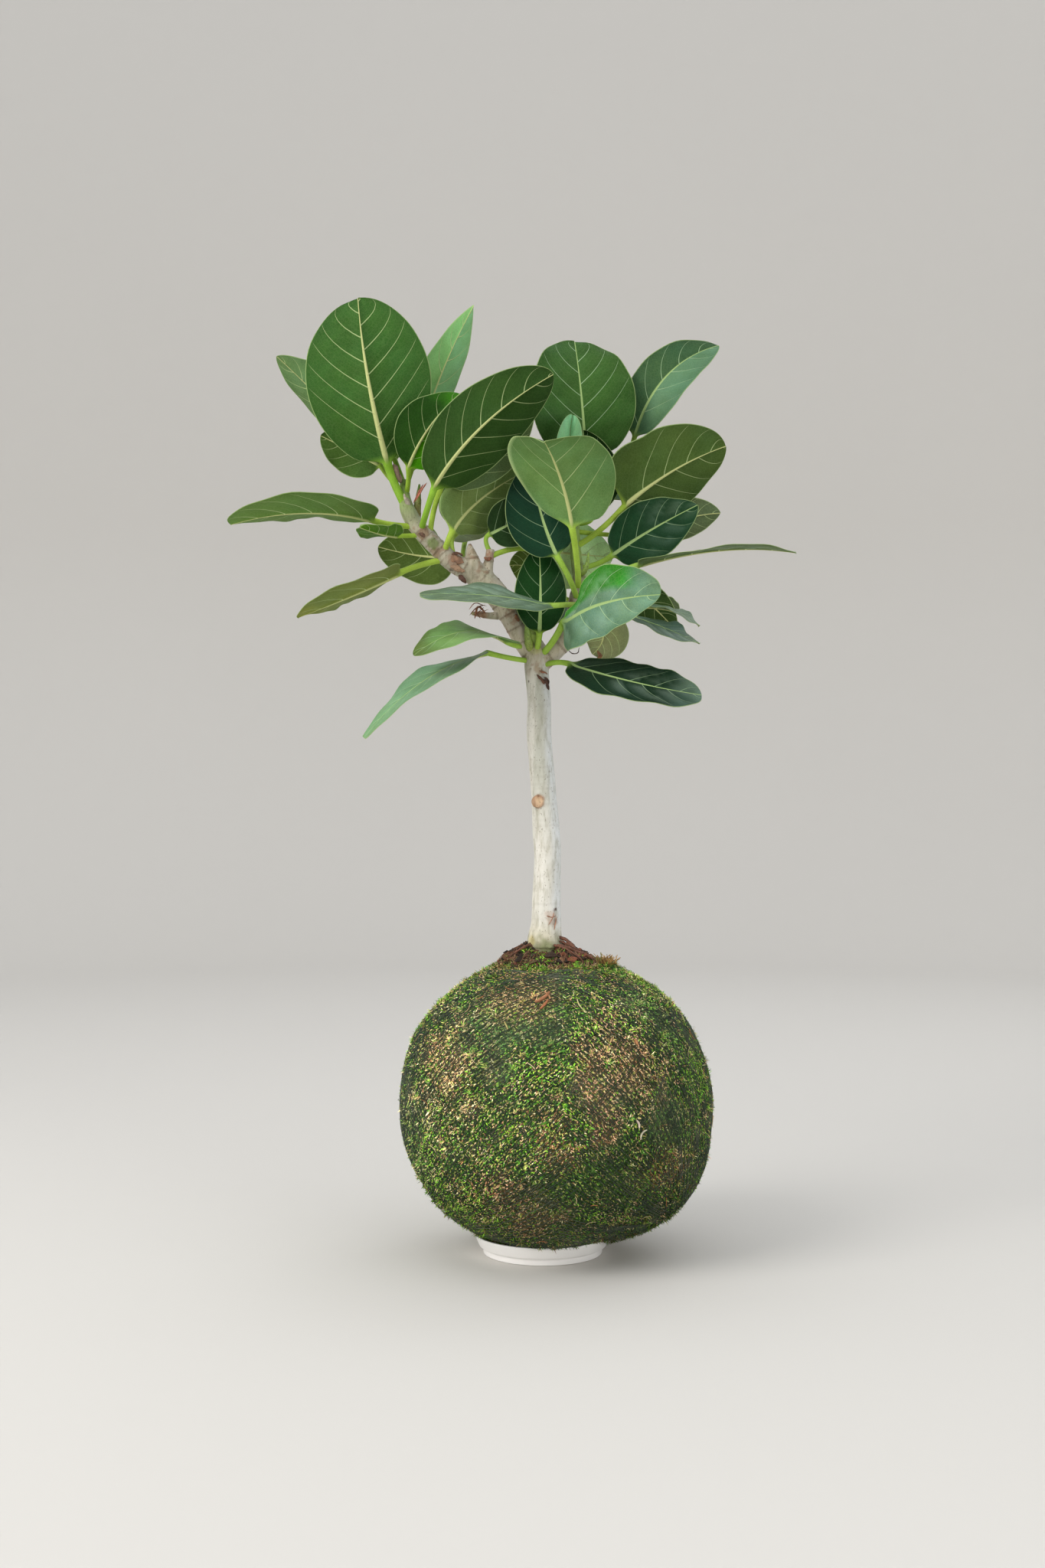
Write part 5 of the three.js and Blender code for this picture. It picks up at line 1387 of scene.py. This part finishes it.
def growMoss(chart):
    # the skin under the leaflets: rows and columns of directions on the ball, lifted by noise
    material = tintMaterial("Moss", "mossTint", 800, 0.001, 0.7, 0.45, (190, 186, 160), Roughness=0.8,
                            Specular_IOR_Level=0.2)
    polar = np.linspace(0.02, np.pi - 0.02, moss["rows"])[::-1, None]
    turn = tau * np.arange(moss["columns"])[None, :] / moss["columns"]
    direction = np.stack([np.sin(polar) * np.cos(turn), np.sin(polar) * np.sin(turn),
                          np.cos(polar) * np.ones_like(turn)], -1)
    rise = moss["lumps"] * noise(direction, 0.09, 5.1) + 0.5 * noise(direction, 0.025, 3.3) - 1.3
    rise = rise - 20 * smooth(0.942, 0.965, direction[..., 2])
    points, faces = closedGrid(clearOfDish(ballPoint(direction, rise)))
    flat = direction.reshape(-1, 3)
    amounts = patchAmount(flat)
    colour = linear(moss["colours"]["dark"]) * (0.95 + 0.4 * noise(flat, 0.04, 6.6)[:, None])
    colour = mixed(colour, moss["film"], 0.35 * amounts["bare"][:, None])
    dry = (0.6 * np.maximum(amounts["pink"], amounts["tan"]) + 0.4 * amounts["brown"])[:, None]
    colour = colour * (1 - 0.7 * dry) + linear(moss["colours"]["brown"]) * 0.5 * dry
    colour = np.concatenate([colour, colour[:1], colour[-1:]])
    makePiece("moss_skin", points, faces, material, ["moss"], dict(mossTint=colour))
    for number in range(moss["pieces"]):
        mossLeaflets("moss_leaflets_%d" % (number + 1), moss["leaflets"], 21 + number, material, chart)
    mossCollar(material)
    strewBits(material)
    print("moss leaflets:", moss["pieces"] * moss["leaflets"])


def threadMaterial():
    material, tree, shader, where = newMaterial("Thread", Roughness=0.7, Specular_IOR_Level=0.2)
    twist = speckle(tree, where, 1400, 3, 0.5)
    patch = speckle(tree, where, 30, 3, 0.5)
    # the paler fibres are partly worn thread and partly painted sheen
    body = blendColour(tree, ramp(tree, twist, 0.3, 0.7, 0.0, 0.6), thread["colour"], thread["wearAndSheen"])
    body = blendColour(tree, ramp(tree, patch, 0.45, 0.7, 0.0, 0.4), body, thread["dusty"])
    tree.links.new(body, shader.inputs["Base Color"])
    tree.links.new(bump(tree, twist, 0.0003, 0.6), shader.inputs["Normal"])
    return material


def windThread(chart):
    # the thread as a tube along its rays, pressed a little deeper in places
    ray, _, leads = threadRays(thread["step"])
    out = unit(ray / ballSize)
    height = thread["sunk"] + (thread["lift"] - thread["sunk"]) * leads + 0.3 * noise(ray, 0.06, 4.2)
    height = height - thread["inBright"] * patchAmount(ray)["bright"]
    height = height - thread["inCrowd"] * chart[2][cellOf(ray)]
    path = clearOfDish(ballPoint(ray) + out * height[:, None])
    side = np.cross(unit(np.gradient(path, axis=0)), out)
    angle = tau * np.arange(thread["sides"]) / thread["sides"]
    points, faces = closedGrid(path[:, None] + thread["radius"] * rings(out, side, angle))
    makePiece("thread_windings", points, faces, threadMaterial(), ["thread"])
    print("thread windings:", thread["turns"])


mound = dict(
    x=4, profile=[(44, 232), (42, 240), (36, 246.5), (27, 252), (19, 255.3), (0, 255.6)],
    trunk=2, hollow=5.5, hollowY=-19,  # the trunk's x, and the depth and y of a hollow before it
    crumbs=4200, reach=43, clear=12.3,  # how many crumbs, how far out, and how far from the trunk
    banked=0.16, bank=(12.5, 19.5),  # the share banked up against the trunk, from and to which radius
    big=0.13, bigger=2.1,  # the share of big crumbs, and their size against the others
    fibres=210, fibreReach=42, fibreClear=13.5, fibreEdge=47,  # the same for fibres, and their limit
    inside=(121, 110), join=225, relief=236,  # hidden soil ball; heights where it ends and lumps start
    soil=(52, 38, 28), crumb=(120, 88, 64), red=(134, 80, 56), fibre=(136, 96, 72),
    twigs=70, twigFoot=(53, -12, 243), twigSpread=(3.4, 4, 0.6), twig=(204, 164, 100),
    stem=[(48, -14, 241), (48.3, -14, 245), (48.8, -14, 249), (48.2, -14.5, 252.5)],
    stemColour=(150, 150, 84),
)


def hollowAt(x, y):
    # depth of the hollow, greatest in its middle and none 17 mm away
    return mound["hollow"] * smooth(17, 5, np.hypot(x - mound["trunk"], y - mound["hollowY"]))


def moundHeight(x, y):
    # the turned profile, less the hollow
    profile = np.array(mound["profile"][::-1], float)
    height = np.interp(np.hypot(x - mound["x"], y), profile[:, 0], profile[:, 1])
    return height - hollowAt(x, y)


def soilCrumbs(material, rng):
    # six-cornered lumps with their corners shifted, strewn over the mound and banked up round the
    # trunk's foot, with a few big ones
    count = mound["crumbs"]
    inner, outer = mound["bank"]
    r = mound["reach"] * np.sqrt(rng.random(count))
    turn = tau * rng.random(count)
    banked = rng.random(count) < mound["banked"]  # highest at the trunk
    r = np.where(banked, inner + (outer - inner) * rng.random(count) ** 1.5, r)
    x = np.where(banked, mound["trunk"], mound["x"]) + r * np.cos(turn)
    y = r * np.sin(turn)
    bank = (outer - r) * rng.uniform(0, 0.55, count) * smooth(6, 16, np.hypot(x - mound["trunk"], y + 17))
    z = moundHeight(x, y) + np.where(banked, bank, 0)
    z = z + 3.0 * np.maximum(noise(np.stack([x, y, z], -1), 6.5, 2), 0)
    at = np.stack([x, y, z], -1)[np.hypot(x - mound["trunk"], y) > mound["clear"]]
    count = len(at)
    size = rng.uniform(0.45, 2.1, (count, 1, 1)) ** 1.3
    size = size * np.where(rng.random((count, 1, 1)) < mound["big"], mound["bigger"], 1)
    shape = np.array([(1, 0, 0), (0, 1, 0), (-1, 0, 0), (0, -1, 0), (0, 0, 1), (0, 0, -1.0)])
    corners = (shape + rng.normal(0, 0.25, (count, 6, 3))) * (1, 1, 0.75)
    spin = tau * rng.random((count, 1))
    cx, cy, cz = np.moveaxis(corners, -1, 0)
    corners = np.stack([cx * np.cos(spin) - cy * np.sin(spin),
                        cx * np.sin(spin) + cy * np.cos(spin), cz], -1)
    points = (at[:, None] + corners * size).reshape(-1, 3)
    local = np.array([(0, 1, 4), (1, 2, 4), (2, 3, 4), (3, 0, 4), (1, 0, 5), (2, 1, 5), (3, 2, 5), (0, 3, 5)])
    faces = (local[None] + 6 * np.arange(count)[:, None, None]).reshape(-1, 3)
    tones = linear([mound["soil"], mound["crumb"], mound["red"]]) * 1.12
    colour = tones[rng.choice(3, count, p=(0.55, 0.28, 0.17))] * rng.uniform(0.5, 1.4, (count, 1))
    colour = colour * (1 + 0.4 * smooth(-5, 25, at[:, :1]))
    makePiece("soil_crumbs", points, [faces], material, (),
              dict(soilTint=np.repeat(colour, 6, 0)), shiny=False)


def soilFibres(material, rng):
    # thin bent tubes strewn over the mound: a straight run bowed by a parabola, the middle raised;
    # and a small twiggy tuft that stands at the right, with one taller stalk
    s = np.linspace(-0.5, 0.5, 9)
    parts = []
    for _ in range(mound["fibres"]):
        r, turn = mound["fibreReach"] * np.sqrt(rng.random()), tau * rng.random()
        way, long = tau * rng.random(), rng.uniform(4, 14)
        bow = rng.normal(0, 2.5)
        x = mound["x"] + r * np.cos(turn) + long * s * np.cos(way) - bow * 4 * s ** 2 * np.sin(way)
        y = r * np.sin(turn) + long * s * np.sin(way) + bow * 4 * s ** 2 * np.cos(way)
        z = moundHeight(x, y) + rng.uniform(0.8, 1.8) + rng.uniform(0, 3.4) * (1 - 4 * s ** 2)
        if (np.hypot(x - mound["trunk"], y).min() < mound["fibreClear"]
                or np.hypot(x - mound["x"], y).max() > mound["fibreEdge"]):
            continue
        width = rng.uniform(0.16, 0.5) * (1 - 1.2 * s ** 2)
        parts.append((np.stack([x, y, z], -1), width, mound["fibre"], rng.uniform(0.4, 1.4)))
    for _ in range(mound["twigs"]):
        way, long, lean = tau * rng.random(), rng.uniform(3, 7.5), rng.uniform(0.3, 1.6)
        start = mound["twigFoot"] + rng.normal(0, mound["twigSpread"])
        tip = start + long * np.array([lean * np.cos(way), lean * np.sin(way), 1])
        middle = (start + tip) / 2 + rng.normal(0, 1, 3)
        u = (s + 0.5)[:, None]
        width = rng.uniform(0.3, 0.7) * (1 - 0.5 * u[:, 0])
        parts.append((bowed(start, middle, tip, u), width, mound["twig"], rng.uniform(0.5, 1.4)))
    parts.append((catmullRom(mound["stem"], 8)[0], 0.45, mound["stemColour"], 1))
    made = []
    for path, width, tone, shade in parts:
        points, faces = closedGrid(tube(path, width, 4))
        made.append((points, faces, np.tile(linear(tone) * shade, (len(points), 1))))
    makeGathered("soil_fibres", made, material, (), "soilTint")


def growSoil():
    # the mound as a turned profile roughened by noise, closed below by the hidden soil ball
    rng = np.random.default_rng(8)
    material = tintMaterial("Soil", "soilTint", 900, 0.0015, Roughness=0.95)
    profile = np.array(mound["profile"][::-1], float)
    run = np.linspace(0.02, 1, 60)
    distance = np.concatenate([[0], np.cumsum(np.hypot(*np.diff(profile, axis=0).T))])
    top = np.stack([np.interp(run * distance[-1], distance, profile[:, k]) for k in (0, 1)], -1)
    polar = np.linspace(0.38, np.pi - 0.03, 18)
    radius, halfHeight = mound["inside"]
    below = np.stack([radius * np.sin(polar), ball["z"] + halfHeight * np.cos(polar)], -1)
    whole = np.concatenate([top, below])[::-1]
    grid = turned(whole, 120, np.where(whole[:, 1:] > mound["join"], mound["x"], ball["x"]))
    relief = 3.4 * noise(grid, 6.5, 2) + 1.7 * noise(grid, 2.2, 5) - 0.9
    relief = relief - hollowAt(grid[..., 0], grid[..., 1])
    grid[..., 2] += np.where(grid[..., 2] > mound["relief"], relief, 0)
    points, faces = closedGrid(grid)
    colour = linear(mound["soil"]) * (1 + 0.6 * noise(points, 3, 4)[:, None])
    makePiece("soil_mound", points, faces, material, ["soil"], dict(soilTint=colour))
    soilCrumbs(material, rng)
    soilFibres(material, rng)
    print("soil")


def softenCorners(profile, radius, steps):
    # each corner of a [radius, height] profile replaced by a short bowed curve between two points
    # set back from it
    p = np.asarray(profile, float)
    points = [p[:1]]
    s = np.linspace(0, 1, steps)[:, None]
    for before, corner, after in zip(p[:-2], p[1:-1], p[2:]):
        back, ahead = before - corner, after - corner
        r = min(radius, 0.45 * np.linalg.norm(back), 0.45 * np.linalg.norm(ahead))
        start, end = corner + unit(back) * r, corner + unit(ahead) * r
        points.append(bowed(start, corner, end, s))
    return np.concatenate(points + [p[-1:]])


def makeDish():
    # the dish's profile turned about the upright axis
    d = dish
    profile = [(0.01, 0), (d["footRadius"], 0), (d["footRadius"], d["footHeight"]),
               (d["footRadius"] + d["shoulderOut"], d["footHeight"] + d["shoulderUp"]),
               (d["rimRadius"], d["height"] - d["lip"]), (d["rimRadius"], d["height"]),
               (d["rimRadius"] - d["wall"], d["height"]),
               (d["footRadius"] + d["coveOut"], d["floor"] + d["coveUp"]),
               (d["footRadius"] - d["coveInto"], d["floor"]), (0.01, d["floor"])]
    points, faces = closedGrid(turned(softenCorners(profile, 0.6, 4), 128))
    material, tree, shader, where = newMaterial("Dish", Roughness=0.3)
    cloud = speckle(tree, where, 40, 3, 0.5)
    scuff = speckle(tree, where, 900, 4, 0.6)
    tree.links.new(blendColour(tree, cloud, (250, 248, 246), (254, 253, 252)), shader.inputs["Base Color"])
    tree.links.new(calc(tree, "MULTIPLY_ADD", scuff, 0.12, 0.24), shader.inputs["Roughness"])
    tree.links.new(bump(tree, scuff, 0.00005, 0.5), shader.inputs["Normal"])
    makePiece("dish_turned", points, faces, material, ["dish"])
    print("dish")


stage = dict(
    floorRadius=2.5, edgeRadius=3.6, edgeHeight=3.1, sunk=0.0002,  # in metres
    tone=(212, 209, 204), paler=(215, 212, 207), sky=(0.93, 0.96, 1.0, 1),
    # soft boxes: name, place, size, power, colour, spread in degrees
    lights=[("key", (-1.8, -1.4, 1.9), 1.4, 36.5, (1.0, 0.98, 0.95), 180),
            ("left", (-1.9, -0.9, 0.5), 1.1, 4.0, (1.0, 0.98, 0.95), 110),
            ("fill", (1.9, -1.3, 1.3), 1.5, 5, (0.93, 0.97, 1.0), 180),
            ("low", (1.05, -1.6, 0.5), 0.7, 2.35, (1.0, 0.99, 0.97), 110),
            ("back", (1.2, 1.5, 1.9), 1.4, 5, (0.95, 0.98, 1.0), 180)],
    lit=(0, 0, 0.45),  # the point that they face
    camera=(-0.017, -1.598, 0.393), sensor=36, lens=36 * 2480 / 2048,
)


def setStage():
    # a wide round floor whose edge rises upright by a quarter circle, turned about Z
    quarter = np.linspace(0, np.pi / 2, 24)
    bend = stage["edgeRadius"] - stage["floorRadius"]
    profile = np.concatenate([
        [(0.01, 0), (stage["floorRadius"] * 0.5, 0)],
        np.stack([stage["floorRadius"] + bend * np.sin(quarter), bend - bend * np.cos(quarter)], -1),
        [(stage["edgeRadius"], stage["edgeHeight"])]]) / mm
    points = turned(profile, 96).reshape(-1, 3) * mm - (0, 0, stage["sunk"])
    faces = gridFaces(len(profile), 96).tolist() + [list(range(96))]
    mesh = bpy.data.meshes.new("floor")
    mesh.from_pydata(points.tolist(), [], faces)
    mesh.polygons.foreach_set("use_smooth", [True] * len(mesh.polygons))
    floor = addObject("floor", mesh)
    material, tree, shader, where = newMaterial("Floor", Roughness=0.8)
    cloud = speckle(tree, where, 0.8, 2, 0.5)
    tone = blendColour(tree, cloud, stage["tone"], stage["paler"])
    tree.links.new(tone, shader.inputs["Base Color"])
    mesh.materials.append(material)

    world = bpy.data.worlds.new("studio")
    bpy.context.scene.world = world
    world.use_nodes = True
    world.node_tree.nodes["Background"].inputs["Color"].default_value = stage["sky"]
    world.node_tree.nodes["Background"].inputs["Strength"].default_value = 1.0
    for light in stage["lights"]:
        softLight(*light)
    bpy.context.scene.view_settings.view_transform = "Standard"


def softLight(name, where, size, power, colour, spread):
    # a square soft box that faces the middle of the object; a narrow spread keeps it off the floor
    light = bpy.data.lights.new(name, "AREA")
    light.size = size
    light.energy = power
    light.color = colour
    light.spread = np.radians(spread)
    lamp = addObject(name, light)
    lamp.location = where
    lamp.rotation_euler = (Vector(stage["lit"]) - Vector(where)).to_track_quat("-Z", "Y").to_euler()


def setCamera():
    # a level camera at the height and distance worked out from the photo
    camera = bpy.data.cameras.new("camera")
    camera.sensor_width = stage["sensor"]
    camera.lens = stage["lens"]
    viewer = addObject("camera", camera)
    viewer.location = stage["camera"]
    viewer.rotation_euler = (np.pi / 2, 0, 0)
    bpy.context.scene.camera = viewer


setCamera()
setStage()
makeDish()
growSoil()
chart = pressChart()
growMoss(chart)
windThread(chart)
growWood(barkMaterial())
growRoots()
growBuds()
growLeaves()
